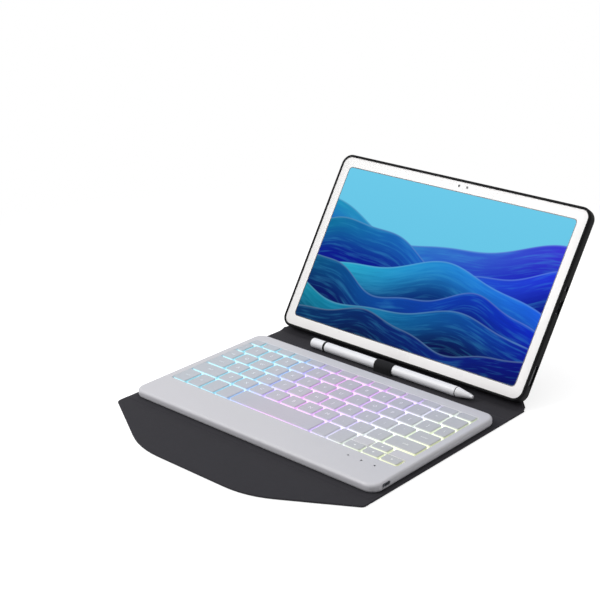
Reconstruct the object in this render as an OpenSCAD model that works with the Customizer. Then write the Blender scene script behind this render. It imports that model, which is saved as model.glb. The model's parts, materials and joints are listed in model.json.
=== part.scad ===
// Keyboard case for a 10.4 inch tablet, stood open: the base lies flat with its keyboard, and the
// back cover leans on two side panels folded behind it. Millimetres. X runs to the right, -Y to the
// front and Z up. The origin is the centre of the base panel's underside.

/* [Tablet] */
// Width of the tablet, held in landscape
tablet_w = 243.8; // [235:0.1:260]
// Height of the tablet
tablet_h = 154.1; // [150:0.1:166]
// Thickness of the tablet
tablet_t = 7.0; // [6:0.1:9]
// Corner radius of the tablet
tablet_r = 8; // [5:0.5:12]
// Width of the white bezel at the display's sides
bezel_side = 8.65; // [7:0.05:16]
// Width of the white bezel above and below the display
bezel_end = 9.1; // [7:0.05:16]
// Corner radius of the lit display
display_r = 3.5; // [1:0.5:6]
// Thickness of the front glass
glass_t = 0.7; // [0.5:0.1:1.2]
// Length of the power button
power_button_l = 10; // [6:0.5:14]
// Length of the volume button
volume_button_l = 22; // [16:0.5:28]

/* [Tray] */
// Thickness of the tray's side walls
tray_wall = 1.1; // [1:0.1:3]
// Thickness of the tray's back
tray_back_t = 1.0; // [0.8:0.1:2]
// How far the soft lip reaches over the glass
lip_reach = 1.0; // [0.8:0.1:4]
// Thickness of the soft lip
lip_t = 0.6; // [0.4:0.1:1.2]
// Bare cover between the spine fold and the tray
tray_rise = 3.2; // [1.5:0.1:6]

/* [Cover] */
// Thickness of a boarded panel
panel_t = 1.8; // [1.4:0.1:2.4]
// Thickness of the fabric at the edges and folds
fabric_t = 0.8; // [0.5:0.1:1.2]
// How far the cover stands past the tray at each side
cover_past = 1.1; // [0:0.1:3]
// Width of the fabric border round each board
board_border = 1.6; // [1:0.1:3]
// Angle between the back's fold lines and its sides
fold_line_angle = 40.4; // [39.6:0.1:42]
// Height up the back at which the centre board's tip is cut off
tip_height = 125; // [110:1:130]
// Thickness of the lining under the keyboard
liner_t = 0.4; // [0.2:0.1:0.8]
// Diameter of the magnets in the cover
magnet_d = 10; // [6:0.5:12]
// Thickness of the magnets
magnet_t = 0.8; // [0.6:0.1:1]

/* [Flap] */
// Depth of the closing flap
flap_d = 24; // [18:0.5:30]
// Straight length of the flap's far edge
flap_edge_w = 108; // [90:1:120]
// Angle of the flap's slanted sides
flap_taper_angle = 30; // [25:1:35]
// Radius where the flap's far edge turns into its slanted sides
flap_turn_r = 80; // [20:1:90]

/* [Keyboard] */
// Height of the keyboard
kb_h = 6.3; // [5.8:0.1:9]
// Corner radius of the keyboard, seen from above
kb_r = 9; // [5:0.5:12]
// Radius of the keyboard's rounded top edge
kb_edge_r = 2.4; // [1:0.1:3]
// Bare base at each side of the keyboard
kb_side_gap = 3.2; // [2:0.1:6]
// Keyboard between its side and the keys
key_side_margin = 7.4; // [5:0.1:12]
// Deck behind the function keys
rear_deck = 12; // [8:0.5:16]
// Depth of the palm rest in front of the keys
palm_rest = 33; // [20:0.5:40]
// Thickness of the keyboard's plastic walls
kb_wall = 1.2; // [1:0.1:1.6]

/* [Keys] */
// Gap between neighbouring keys
key_gap = 2.0; // [1.4:0.1:2.6]
// Depth of a letter row
row_d = 16.6; // [15:0.1:18]
// Depth of the function row
function_row_d = 10; // [8:0.1:12]
// Depth of the bottom row
bottom_row_d = 20.8; // [18:0.1:23]
// Height of a key cap
key_h = 2.6; // [2:0.1:3]
// How far the keys stand above the deck
key_stand = 0.6; // [0.2:0.1:1]
// Travel of a key
key_travel = 1.2; // [0.8:0.1:1.5]
// Width of the first function key
function_first_w = 12.7; // [10:0.1:16]
// Width of the first number key
number_first_w = 8.5; // [7:0.1:12]
// Width of the backspace key
backspace_w = 17.3; // [15:0.1:24]
// Width of the tab key
tab_w = 13.6; // [11:0.1:15]
// Width of the caps lock key
caps_w = 20.3; // [16:0.1:24]
// Width of the left shift key
shift_w = 28.8; // [22:0.1:32]
// Width of the space bar
space_w = 83; // [70:0.5:86]

/* [Stylus] */
// Diameter of the stylus
stylus_d = 8.2; // [7:0.1:9]
// Length of the stylus from cap to nib
stylus_l = 164.5; // [140:0.5:175]
// Length of the stylus's end cap
stylus_cap_l = 14; // [8:0.5:20]
// Length of the stylus's cone
stylus_cone_l = 15.5; // [10:0.5:20]
// How far the stylus's middle sits to the right
stylus_shift = 3.8; // [-8:0.1:8]
// Width of the elastic loop
loop_w = 18; // [12:0.5:30]
// Thickness of the elastic
loop_t = 0.5; // [0.4:0.1:0.8]

/* [Hidden] */
$fn = 48;

// Colours
charcoal = [0.21, 0.21, 0.23];
lining_grey = [0.24, 0.24, 0.26];
soft_black = [0.06, 0.06, 0.07];
pale_grey = [0.81, 0.80, 0.82];
key_grey = [0.78, 0.77, 0.83];
metal_grey = [0.62, 0.63, 0.65];
bezel_white = [0.95, 0.95, 0.95];
screen_blue = [0.30, 0.62, 0.85];
lens_black = [0.05, 0.05, 0.08];
light_violet = [0.85, 0.80, 0.95];
board_green = [0.10, 0.35, 0.20];
cell_blue = [0.30, 0.45, 0.65];

// Named clearances
fit = 0.1;             // between pieces that are laid or slid together
fold_clear = 0.3;      // between two panels at a fold
closed_clear = 0.3;    // between layers when the case is closed
over = 1;              // how far a cut runs past the face that it cuts

// Lit display, inside its bezel
display_w = tablet_w - 2 * bezel_side;
display_h = tablet_h - 2 * bezel_end;

// Tray and cover sizes
tray_w = tablet_w + 2 * (fit + tray_wall);
tray_h = tablet_h + 2 * (fit + tray_wall);
tray_r = tablet_r + fit + tray_wall;
tray_d = tray_back_t + fit + tablet_t;             // from the tray's back to the glass
cover_w = tray_w + 2 * cover_past;
half_w = cover_w / 2;
hinge_z = panel_t / 2;
top_margin = 1;                                    // cover above the tray
back_h = tray_rise + tray_h + top_margin;          // height of the back cover

// Side panels: the inner ends of their top edges meet behind the back cover, which sets fold and lean
recess_clear = 2;
recess_rise = flap_d + fold_clear + recess_clear;  // the flap lies in this recess when closed
leg_top_in = half_w - flap_edge_w / 2 - recess_rise / tan(flap_taper_angle);
leg_clear = panel_t / 2 + fold_clear;              // from a side panel's mid-plane to the middle
across_up = back_h * sin(fold_line_angle) * cos(fold_line_angle);
leg_turn = acos((half_w - leg_clear - leg_top_in * pow(sin(fold_line_angle), 2) - across_up)
    / (leg_top_in * pow(cos(fold_line_angle), 2) - across_up));
corner_up = back_h * (pow(cos(fold_line_angle), 2) + pow(sin(fold_line_angle), 2) * cos(leg_turn));
corner_back = back_h * sin(fold_line_angle) * sin(leg_turn);
lean = atan2(corner_up, corner_back);

// Distances from a fold's axis to the board and to the fabric that start beyond it
board_start = panel_t / 2 + fold_clear;
fabric_start = fabric_t / 2 + fold_clear;
leg_board_start = panel_t / 2 * tan(leg_turn / 2) + fold_clear;
leg_fabric_start = fabric_t / 2 * tan(leg_turn / 2) + fold_clear;

// Stylus and spine: closed, the stylus lies behind the keyboard and under the tray
stylus_r = stylus_d / 2;
loop_r = stylus_r + fit + loop_t;
stylus_z = panel_t + fit + stylus_r;
stylus_up = panel_t - hinge_z + liner_t + closed_clear + loop_r;     // from hinge 1 along the spine
spine_l = stylus_up + loop_r + closed_clear + lip_t + tray_d + fit + panel_t / 2;

// Base, with the keyboard on it
base_d = tray_rise + tray_h + closed_clear + panel_t;
base_top = panel_t + liner_t;
kb_z = base_top + fit;
kb_top = kb_z + kb_h;
kb_w = cover_w - 2 * kb_side_gap;
kb_d = rear_deck + function_row_d + 4 * row_d + bottom_row_d + palm_rest;
kb_rear_gap = 1.5;                                 // spare room behind the keyboard when closed
kb_rear_y = base_d / 2 - (stylus_z - hinge_z) - loop_r - 2 * closed_clear - kb_rear_gap;
kb_front_y = kb_rear_y - kb_d;
kb_mid_y = (kb_rear_y + kb_front_y) / 2;

// Folds, from front to back
front_fold_y = -base_d / 2;
rear_fold_y = base_d / 2;
strip_l = spine_l + panel_t + closed_clear;
back_fold_y = rear_fold_y + spine_l;

// Keys: columns are measured from the left end of the key area
keys_w = kb_w - 2 * key_side_margin;
key_pitch = (keys_w - number_first_w - backspace_w) / 12;
function_pitch = (keys_w - function_first_w) / 13;
keys_rear_y = kb_rear_y - rear_deck;
row_y = [keys_rear_y,
    keys_rear_y - function_row_d,
    keys_rear_y - function_row_d - row_d,
    keys_rear_y - function_row_d - 2 * row_d,
    keys_rear_y - function_row_d - 3 * row_d,
    keys_rear_y - function_row_d - 4 * row_d,
    keys_rear_y - function_row_d - 4 * row_d - bottom_row_d];
modifier_w = (keys_w - space_w - 3 * key_pitch) / 6;      // each of the keys beside the space bar
space_x = 4 * modifier_w;
arrows_x = keys_w - 3 * key_pitch;
half_row_d = bottom_row_d / 2;
key_bottom_z = kb_top + key_stand - key_h;

// Layers inside the keyboard, from below
floor_z = kb_z + kb_wall;
light_guide_t = 0.5;
support_t = 0.4;
membrane_t = 0.2;
support_z = floor_z + light_guide_t;
membrane_z = support_z + support_t;
dome_z = membrane_z + membrane_t;
clip_t = 0.4;
layer_inset = 1.5;
keys_mid_y = (row_y[0] + row_y[6]) / 2;
keys_d = row_y[0] - row_y[6];
palm_mid_y = (row_y[6] + kb_front_y) / 2;

// Points of a rectangle with round corners, centred
arc_steps = 6;
key_arc_steps = 2;
function corner_arc(cx, cy, r, from, steps) =
    [for (i = [0 : steps]) [cx + r * cos(from + 90 * i / steps), cy + r * sin(from + 90 * i / steps)]];
function round_rect(w, d, r, steps = arc_steps) = concat(
    corner_arc(w / 2 - r, d / 2 - r, r, 0, steps), corner_arc(-w / 2 + r, d / 2 - r, r, 90, steps),
    corner_arc(-w / 2 + r, -d / 2 + r, r, 180, steps), corner_arc(w / 2 - r, -d / 2 + r, r, 270, steps));

module round_block(w, d, h, r, steps = arc_steps)
    linear_extrude(height = h) polygon(round_rect(w, d, r, steps));

// A knuckle of fabric along a fold, on the X direction
module fold_knuckle(length) rotate([0, 90, 0]) cylinder(h = length, d = fabric_t, center = true);

// A flat layer of a panel, centred on the panel's mid-plane
module layer(points, t) translate([0, 0, hinge_z - t / 2]) linear_extrude(height = t) polygon(points);

// Box from its low corner and its size, by X range and Y range
module slab(x0, x1, y0, y1, z, h) translate([x0, y0, z]) cube([x1 - x0, y1 - y0, h]);

// A magnet sealed in the middle of a panel, and its pocket
module sealed_magnet(x, y, mid) translate([x, y, mid - magnet_t / 2]) cylinder(d = magnet_d, h = magnet_t);
module magnet_pocket(x, y, mid) translate([x, y, mid - magnet_t / 2 - fit / 2])
    cylinder(d = magnet_d + 2 * fit, h = magnet_t + fit);

// ---- Base ----
magnet_in_x = 22;        // from the keyboard's side to a magnet
magnet_in_y = 14;        // from the keyboard's front or rear to a magnet
base_magnet_xy = [for (x = [-1, 1], y = [-1, 1])
    [x * (kb_w / 2 - magnet_in_x), kb_mid_y + y * (kb_d / 2 - magnet_in_y)]];
liner_inset = 0.5;
liner_r = 3;

module base_cover() color(charcoal) {
    difference() {
        union() {
            slab(-half_w, half_w, front_fold_y, rear_fold_y, hinge_z - fabric_t / 2, fabric_t);
            slab(-half_w + board_border, half_w - board_border,
                front_fold_y + board_start, rear_fold_y - board_start, 0, panel_t);
        }
        for (p = base_magnet_xy) magnet_pocket(p[0], p[1], hinge_z);
    }
    for (y = [front_fold_y, rear_fold_y]) translate([0, y, hinge_z]) fold_knuckle(cover_w);
}

module base_liner() color(lining_grey)
    translate([0, 0, panel_t]) round_block(cover_w - 2 * (board_border + liner_inset),
        base_d - 2 * (board_start + liner_inset), liner_t, liner_r);

module base_magnets() color(metal_grey) for (p = base_magnet_xy) sealed_magnet(p[0], p[1], hinge_z);

// ---- Front strip and flap ----
flap_far_y = front_fold_y - strip_l - flap_d;
flap_fold_y = front_fold_y - strip_l;
// Half the width of strip and flap at a distance from the far edge, less an inset
function front_half(dist, inset) =
    min(half_w - inset, flap_edge_w / 2 + dist / tan(flap_taper_angle) - inset / sin(flap_taper_angle));
// Distance from the far edge at which the slanted sides reach the full width
function taper_depth(inset) =
    (half_w - inset - flap_edge_w / 2 + inset / sin(flap_taper_angle)) * tan(flap_taper_angle);
turn_cut = flap_turn_r * tan(flap_taper_angle / 2);
// Right half of the flap's far end, round where the edge turns
function flap_turn(inset) = [for (i = [0 : 10])
    let (a = flap_taper_angle * i / 10)
    [front_half(inset, inset) - turn_cut + flap_turn_r * sin(a),
        flap_far_y + inset + flap_turn_r * (1 - cos(a))]];
function mirrored(points) = [for (i = [len(points) - 1 : -1 : 0]) [-points[i][0], points[i][1]]];

function strip_half(inset, front, rear) = let (corner_y = flap_far_y + taper_depth(inset))
    concat([[front_half(front - flap_far_y, inset), front]],
        corner_y < rear && corner_y > front ? [[half_w - inset, corner_y]] : [],
        [[front_half(rear - flap_far_y, inset), rear]]);

module front_strip() color(charcoal) {
    for (part = [[0, flap_fold_y, front_fold_y - fabric_start, fabric_t],
                 [board_border, flap_fold_y + board_start, front_fold_y - board_start, panel_t]]) {
        right_side = strip_half(part[0], part[1], part[2]);
        layer(concat(right_side, mirrored(right_side)), part[3]);
    }
    translate([0, flap_fold_y, hinge_z]) fold_knuckle(2 * front_half(flap_d, 0));
}

flap_magnet_x = flap_edge_w / 2 - magnet_d;
flap_magnet_y = flap_far_y + flap_d / 2;

module front_flap() color(charcoal) {
    difference() {
        union() for (part = [[0, flap_fold_y - fabric_start, fabric_t],
                             [board_border, flap_fold_y - board_start, panel_t]]) {
            right_side = concat(flap_turn(part[0]), [[front_half(part[1] - flap_far_y, part[0]), part[1]]]);
            layer(concat(right_side, mirrored(right_side)), part[2]);
        }
        for (x = [-1, 1]) magnet_pocket(x * flap_magnet_x, flap_magnet_y, hinge_z);
    }
}

module flap_magnets() color(metal_grey)
    for (x = [-1, 1]) sealed_magnet(x * flap_magnet_x, flap_magnet_y, hinge_z);

// ---- Spine with the stylus loop ----
module spine_panel() color(charcoal) {
    slab(-half_w, half_w, rear_fold_y + fabric_start, back_fold_y, hinge_z - fabric_t / 2, fabric_t);
    slab(-half_w + board_border, half_w - board_border,
        rear_fold_y + board_start, back_fold_y - board_start, 0, panel_t);
    translate([0, back_fold_y, hinge_z]) fold_knuckle(cover_w);
}

stylus_y = rear_fold_y + stylus_up;
loop_tab = 2.4;

// Half a tube over the stylus with straight legs down to a height
module loop_arch(r, w, low) {
    difference() {
        translate([0, stylus_y, stylus_z]) rotate([0, 90, 0]) cylinder(r = r, h = w, center = true);
        slab(-w, w, stylus_y - 2 * r, stylus_y + 2 * r, stylus_z - 2 * r, 2 * r);
    }
    slab(-w / 2, w / 2, stylus_y - r, stylus_y + r, low, stylus_z - low);
}

module stylus_loop() color(soft_black) {
    difference() {
        loop_arch(loop_r, loop_w, panel_t);
        loop_arch(loop_r - loop_t, loop_w + 2 * over, panel_t - over);
    }
    // The stitched end of the elastic, flat on the spine behind the stylus
    slab(-loop_w / 2, loop_w / 2, stylus_y + loop_r - loop_t, stylus_y + loop_r + loop_tab, panel_t, loop_t);
}

// ---- Back cover, drawn flat and then leant back ----
// In the flat drawing X is across, Y is up from the spine fold and Z faces the keyboard
module lean_back() translate([0, back_fold_y, hinge_z]) rotate([90 - lean, 0, 0]) children();
// A panel layer about the fold's mid-plane in the flat drawing
module flat_layer(points, t) translate([0, 0, -t / 2]) linear_extrude(height = t) polygon(points);

function fold_line_x(up) = -half_w + up * tan(fold_line_angle);
recess_up = back_h - recess_rise;
tip_round = 5;
tip_in = 3;                                          // how far the tip's corners are cut in

// Right half of the centre panel, set in from the fold lines
function center_half(inset, low, high) =
    [[-fold_line_x(low) - inset / cos(fold_line_angle), low],
     [-fold_line_x(high - tip_round) - inset / cos(fold_line_angle), high - tip_round],
     [-fold_line_x(high) - inset / cos(fold_line_angle) - tip_in, high]];

knuckle_gap = 0.5;
module fold_line_knuckle() {
    // Along the left fold line, from the side edge to the tip
    translate([-half_w, 0, 0]) rotate([0, 0, -fold_line_angle]) rotate([-90, 0, 0])
        translate([0, 0, fabric_start / cos(fold_line_angle) + knuckle_gap])
            cylinder(d = fabric_t,
                h = (tip_height - tip_round - fabric_start) / cos(fold_line_angle) - knuckle_gap);
}

module back_center_panel() color(charcoal) lean_back() {
    for (part = [[0, fabric_start, tip_height, fabric_t],
                 [leg_board_start, board_start + board_border, tip_height - board_border, panel_t]]) {
        right_side = center_half(part[0], part[1], part[2]);
        flat_layer(concat(right_side, mirrored(right_side)), part[3]);
    }
    fold_line_knuckle();
    mirror([1, 0, 0]) fold_line_knuckle();
}

// Left side panel in the flat drawing, with its outer corner cut off
leg_corner = 4;
function leg_points(from_fold, inset) = [
    [-half_w + inset, (from_fold + inset * cos(fold_line_angle)) / sin(fold_line_angle)],
    [-half_w + inset, back_h - inset - leg_corner],
    [-half_w + inset + leg_corner, back_h - inset],
    [-flap_edge_w / 2 - (recess_rise - inset) / tan(flap_taper_angle) - inset, back_h - inset],
    [-flap_edge_w / 2 - inset, recess_up - inset],
    [fold_line_x(recess_up - inset) - from_fold / cos(fold_line_angle), recess_up - inset]];
leg_magnet_x = -half_w + board_border + magnet_d;
leg_magnet_up = back_h - board_border - magnet_d;

module fold_leg() lean_back() translate([-half_w, 0, 0])
    rotate(a = -leg_turn, v = [sin(fold_line_angle), cos(fold_line_angle), 0])
        translate([half_w, 0, 0]) children();

module leg() fold_leg() difference() {
    union() {
        flat_layer(leg_points(leg_fabric_start, 0), fabric_t);
        flat_layer(leg_points(leg_board_start, board_border), panel_t);
    }
    magnet_pocket(leg_magnet_x, leg_magnet_up, 0);
}
module leg_magnet() fold_leg() sealed_magnet(leg_magnet_x, leg_magnet_up, 0);

module back_left_panel() color(charcoal) leg();
module back_right_panel() color(charcoal) mirror([1, 0, 0]) leg();
module left_leg_magnet() color(metal_grey) leg_magnet();
module right_leg_magnet() color(metal_grey) mirror([1, 0, 0]) leg_magnet();

// ---- Tray and tablet: lying in the flat drawing, centred, with Z from the tray's back ----
module in_tray() lean_back() translate([0, tray_rise + tray_h / 2, panel_t / 2 + fit]) children();

camera_in = 18;          // from the tablet's corner to the rear camera, both ways
camera_x = -tablet_w / 2 + camera_in;
camera_y = tablet_h / 2 - camera_in;
camera_sunk = 1.2;
camera_proud = 0.8;
camera_d = 9;
camera_hole_d = 20;
port_l = 11;             // length of the charging port's cut-out
port_slot_w = 9;
port_slot_h = 3.2;
port_slot_depth = 6;
cut_h = 4.4;             // height of the cut-outs in the tray's right wall
notch_l = 4;             // small cut-out above the port
notch_up = 15;
corner_cut_l = 16;       // cut-out near the lower corner for the sound
corner_cut_up = -tablet_h / 2 + 22;
power_x = -tablet_w / 2 + 42;
volume_x = power_x + power_button_l / 2 + volume_button_l / 2 + 8;
button_t = 2.0;          // thickness of the side buttons
button_r = 0.9;
button_stand = 0.5;      // how far they stand out of the housing
button_travel = 0.3;
button_depth = 2;        // of a button, from its face inwards
button_gap = 1.2;        // between a button and the tray's wall
lip_min_r = 2;           // least corner radius of the lip
front_camera_x = [0, 8];
front_camera_d = 2.2;
front_camera_up = (tablet_h + display_h) / 4;
tablet_z = tray_back_t + fit / 2;
mid_t = tablet_z + tablet_t / 2;
glass_z = tablet_z + tablet_t;

module tablet_tray() color(soft_black) in_tray() difference() {
    round_block(tray_w, tray_h, tray_d, tray_r);
    translate([0, 0, tray_back_t])
        round_block(tablet_w + 2 * fit, tablet_h + 2 * fit, tray_d, tablet_r + fit);
    translate([camera_x, camera_y, -over]) cylinder(d = camera_hole_d, h = tray_back_t + 2 * over);
    // Charging port, small notch and sound cut-out in the right wall
    for (cut = [[0, port_l], [notch_up, notch_l], [corner_cut_up, corner_cut_l]])
        translate([tray_w / 2 - tray_wall - over, cut[0] - cut[1] / 2, mid_t - cut_h / 2])
            cube([tray_wall + 2 * over, cut[1], cut_h]);
    // One opening for the two side buttons in the top wall, from the tray's back up to the lip
    translate([power_x - power_button_l / 2 - button_gap, tray_h / 2 - tray_wall - over,
        tray_back_t])
        cube([volume_x - power_x + (power_button_l + volume_button_l) / 2 + 2 * button_gap,
            tray_wall + 2 * over, tray_d]);
}

module tray_lip() color(soft_black) in_tray() translate([0, 0, tray_d]) difference() {
    round_block(tray_w, tray_h, lip_t, tray_r);
    translate([0, 0, -over]) round_block(tablet_w - 2 * lip_reach, tablet_h - 2 * lip_reach,
        lip_t + 2 * over, max(tablet_r - lip_reach, lip_min_r));
}

module side_button(x, l) translate([x, tablet_h / 2 + button_stand, mid_t]) rotate([90, 0, 0])
    round_block(l, button_t, button_depth, button_r);

module tablet_housing() color(metal_grey) in_tray() difference() {
    translate([0, 0, tablet_z]) round_block(tablet_w, tablet_h, tablet_t - glass_t, tablet_r);
    // Pockets for the buttons, as deep as the buttons and their travel
    for (b = [[power_x, power_button_l], [volume_x, volume_button_l]])
        translate([b[0] - b[1] / 2 - fit, tablet_h / 2 - button_depth + button_stand - button_travel - fit,
            mid_t - button_t / 2 - fit]) cube([b[1] + 2 * fit, button_depth + over, button_t + 2 * fit]);
    translate([camera_x, camera_y, tablet_z - over]) cylinder(d = camera_d + 2 * fit, h = over + camera_sunk);
    translate([tablet_w / 2 - port_slot_depth, -port_slot_w / 2, mid_t - port_slot_h / 2])
        cube([port_slot_depth + over, port_slot_w, port_slot_h]);
}

module tablet_front_frame() color(bezel_white) in_tray() translate([0, 0, glass_z - glass_t]) difference() {
    round_block(tablet_w, tablet_h, glass_t, tablet_r);
    translate([0, 0, -over]) round_block(display_w, display_h, glass_t + 2 * over, display_r);
    for (x = front_camera_x) translate([x, front_camera_up, -over])
        cylinder(d = front_camera_d + 2 * fit, h = glass_t + 2 * over);
}

module tablet_display() color(screen_blue) in_tray() translate([0, 0, glass_z - glass_t])
    round_block(display_w - 2 * fit, display_h - 2 * fit, glass_t, display_r - fit);

module tablet_front_camera() color(lens_black) in_tray() for (x = front_camera_x)
    translate([x, front_camera_up, glass_z - glass_t]) cylinder(d = front_camera_d, h = glass_t);

module tablet_rear_camera() color(lens_black) in_tray()
    translate([camera_x, camera_y, tablet_z - camera_proud])
        cylinder(d = camera_d, h = camera_proud + camera_sunk);

module tablet_power_button() color(metal_grey) in_tray() side_button(power_x, power_button_l);
module tablet_volume_button() color(metal_grey) in_tray() side_button(volume_x, volume_button_l);

// ---- Stylus, along X from its end cap to its nib ----
ring_l = 1.6;
nib_l = 2.4;
stylus_from = stylus_shift - stylus_l / 2;
cap_bevel = 1;
cone_end_d = 3.8;
nib_d = 3.4;
nib_tip_d = 2.8;
module along_stylus(from) translate([stylus_from + from, stylus_y, stylus_z]) rotate([0, 90, 0]) children();
barrel_from = stylus_cap_l + ring_l;
cone_from = stylus_l - stylus_cone_l;

module stylus_barrel() color(bezel_white) along_stylus(barrel_from)
    cylinder(d = stylus_d, h = cone_from - barrel_from, $fn = 64);
module stylus_end_cap() color(bezel_white) {
    along_stylus(cap_bevel) cylinder(d = stylus_d, h = stylus_cap_l - cap_bevel, $fn = 64);
    along_stylus(0) cylinder(d1 = stylus_d - 2 * cap_bevel, d2 = stylus_d, h = cap_bevel, $fn = 64);
}
module stylus_ring() color(soft_black)
    along_stylus(stylus_cap_l) cylinder(d = stylus_d, h = ring_l, $fn = 64);
module stylus_cone() color(bezel_white) {
    along_stylus(cone_from) cylinder(d1 = stylus_d, d2 = cone_end_d, h = stylus_cone_l - nib_l, $fn = 64);
    along_stylus(stylus_l - nib_l) cylinder(d1 = nib_d, d2 = nib_tip_d, h = nib_l, $fn = 64);
}

// ---- Keyboard ----
arrow_split_y = row_y[5] - half_row_d;
arrows_left = arrows_x - keys_w / 2;
// Left plate's two ends and the right plate's near end
plate_x = [arrows_left + key_gap / 2, arrows_left + key_pitch - key_gap / 2,
    arrows_left + 2 * key_pitch + key_gap / 2];
rib_w = 0.8;
rib_h = 0.6;
screw_d = 1.4;
screw_head_d = 2.6;
screw_head_t = 0.7;
screw_l = 3.6;
screw_in = 6;              // from the keyboard's side or front to a screw
boss_d = 3.6;
seam_inset = 0.4;          // how far the lower shell sits back at the seam
screw_xy = concat(
    [for (x = [-1, 0, 1]) [x * (kb_w / 2 - screw_in), kb_rear_y - rear_deck / 2]],
    [for (x = [-1, 0, 1]) [x * (kb_w / 2 - screw_in), kb_front_y + screw_in]]);
socket_w = 9;
socket_front = 3.4;        // how far the socket sits before the middle of the palm rest
socket_h = 3.2;
socket_r = 1.5;
socket_shell = 0.3;
socket_recess = 0.5;       // from the keyboard's side to the socket's mouth
board_t = 0.6;
board_w = 52;
chip_x = 30;               // from the board's right end to the controller
chip_w = 8;
chip_t = 1;
socket_l = 7.4;
socket_y = palm_mid_y - socket_front;
socket_z = floor_z + board_t + socket_h / 2;
indicator_d = 1.5;
indicator_pitch = 12;
indicator_x = [for (i = [0 : 2]) keys_w / 2 - (3 - i) * indicator_pitch];
indicator_y = row_y[6] - 9;

// Outer body with a rounded top edge: the outline cut by its side profile and its front profile
function top_profile(w, h, r) = concat([[-w / 2, 0], [w / 2, 0]],
    corner_arc(w / 2 - r, h - r, r, 0, arc_steps), corner_arc(-w / 2 + r, h - r, r, 90, arc_steps));
module kb_body() intersection() {
    translate([0, kb_mid_y, kb_z + kb_wall]) round_block(kb_w, kb_d, kb_h - kb_wall, kb_r);
    translate([0, kb_mid_y + kb_d / 2, kb_z]) rotate([90, 0, 0])
        linear_extrude(height = kb_d) polygon(top_profile(kb_w, kb_h, kb_edge_r));
    translate([-kb_w / 2, kb_mid_y, kb_z]) rotate([90, 0, 90])
        linear_extrude(height = kb_w) polygon(top_profile(kb_d, kb_h, kb_edge_r));
}

module kb_cavity() {
    // Room under the deck, and the opening for the keys
    difference() {
        translate([0, kb_mid_y, floor_z - 1])
            round_block(kb_w - 2 * kb_wall, kb_d - 2 * kb_wall, kb_h - 2 * kb_wall + 1, kb_r - kb_wall);
        for (p = screw_xy) translate([p[0], p[1], floor_z]) cylinder(d = boss_d, h = kb_h);
    }
    difference() {
        slab(-keys_w / 2, keys_w / 2, row_y[6], row_y[0], floor_z, kb_h);
        // Deck plate behind the left arrow key, and behind the right one as far as the frame
        for (x = [[plate_x[0], plate_x[1]], [plate_x[2], keys_w / 2 + over]])
            slab(x[0], x[1], arrow_split_y, row_y[5] - key_gap / 2, kb_top - kb_wall, kb_wall + over);
        // Low rib between the up and down arrow keys, which carries the left plate
        slab(plate_x[1] - over, plate_x[2] + over, arrow_split_y - rib_w / 2, arrow_split_y + rib_w / 2,
            kb_top - kb_wall, rib_h);
    }
}

module keyboard_top_case() color(pale_grey) difference() {
    kb_body();
    kb_cavity();
    for (p = screw_xy) translate([p[0], p[1], floor_z - over]) cylinder(d = screw_d + 2 * fit, h = screw_l);
    for (x = indicator_x) translate([x, indicator_y, kb_top - kb_wall - over])
        cylinder(d = indicator_d + 2 * fit, h = kb_wall + 2 * over);
    translate([kb_w / 2 - kb_wall - over, socket_y - socket_w / 2 - fit, socket_z - socket_h / 2 - fit])
        cube([kb_wall + 2 * over, socket_w + 2 * fit, socket_h + 2 * fit]);
}

module keyboard_bottom_case() color(pale_grey) difference() {
    translate([0, kb_mid_y, kb_z])
        round_block(kb_w - 2 * seam_inset, kb_d - 2 * seam_inset, kb_wall, kb_r - seam_inset);
    for (p = screw_xy) translate([p[0], p[1], kb_z - over]) {
        cylinder(d = screw_d + 2 * fit, h = kb_wall + 2 * over);
        cylinder(d = screw_head_d + 2 * fit, h = over + screw_head_t + fit);
    }
    for (p = base_magnet_xy) translate([p[0], p[1], kb_z - over])
        cylinder(d = magnet_d + 2 * fit, h = over + magnet_t);
}

module keyboard_magnets() color(metal_grey)
    for (p = base_magnet_xy) translate([p[0], p[1], kb_z]) cylinder(d = magnet_d, h = magnet_t);

module case_screws() color(metal_grey) for (p = screw_xy) {
    translate([p[0], p[1], kb_z + fit]) cylinder(d = screw_head_d, h = screw_head_t);
    translate([p[0], p[1], kb_z + fit + screw_head_t]) cylinder(d = screw_d, h = screw_l - screw_head_t);
}

module key_layer(z, h) slab(-keys_w / 2 + layer_inset, keys_w / 2 - layer_inset,
    row_y[6] + layer_inset, row_y[0] - layer_inset, z, h);
module light_guide() color(light_violet) key_layer(floor_z, light_guide_t);
module support_plate() color(metal_grey) key_layer(support_z, support_t);
module key_membrane() color(board_green) key_layer(membrane_z, membrane_t);

battery_w = 96;
battery_d = 20;
battery_t = 2.6;
battery_x = -30;
battery_r = 1;
battery_gap = 0.5;         // behind the front screw bosses
battery_y = kb_front_y + screw_in + boss_d / 2 + battery_gap + battery_d / 2;
module battery() color(cell_blue)
    translate([battery_x, battery_y, floor_z]) round_block(battery_w, battery_d, battery_t, battery_r);
module control_board() color(board_green) {
    board_x = kb_w / 2 - kb_wall - fit;
    slab(board_x - board_w, board_x, socket_y - socket_w / 2, indicator_y + 2, floor_z, board_t);
    // Controller
    slab(board_x - chip_x - chip_w, board_x - chip_x, socket_y - chip_w / 2, socket_y + chip_w / 2,
        floor_z + board_t, chip_t);
}
module keyboard_usb_socket() color(metal_grey)
    translate([kb_w / 2 - socket_recess - socket_l, socket_y, socket_z]) rotate([90, 0, 90]) difference() {
        round_block(socket_w, socket_h, socket_l, socket_r);
        translate([0, 0, over])
            round_block(socket_w - 2 * socket_shell, socket_h - 2 * socket_shell, socket_l,
                socket_r - socket_shell);
    }
module indicator_lights() color(bezel_white) for (x = indicator_x)
    translate([x, indicator_y, floor_z + board_t]) cylinder(d = indicator_d, h = kb_top - floor_z - board_t);

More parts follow.
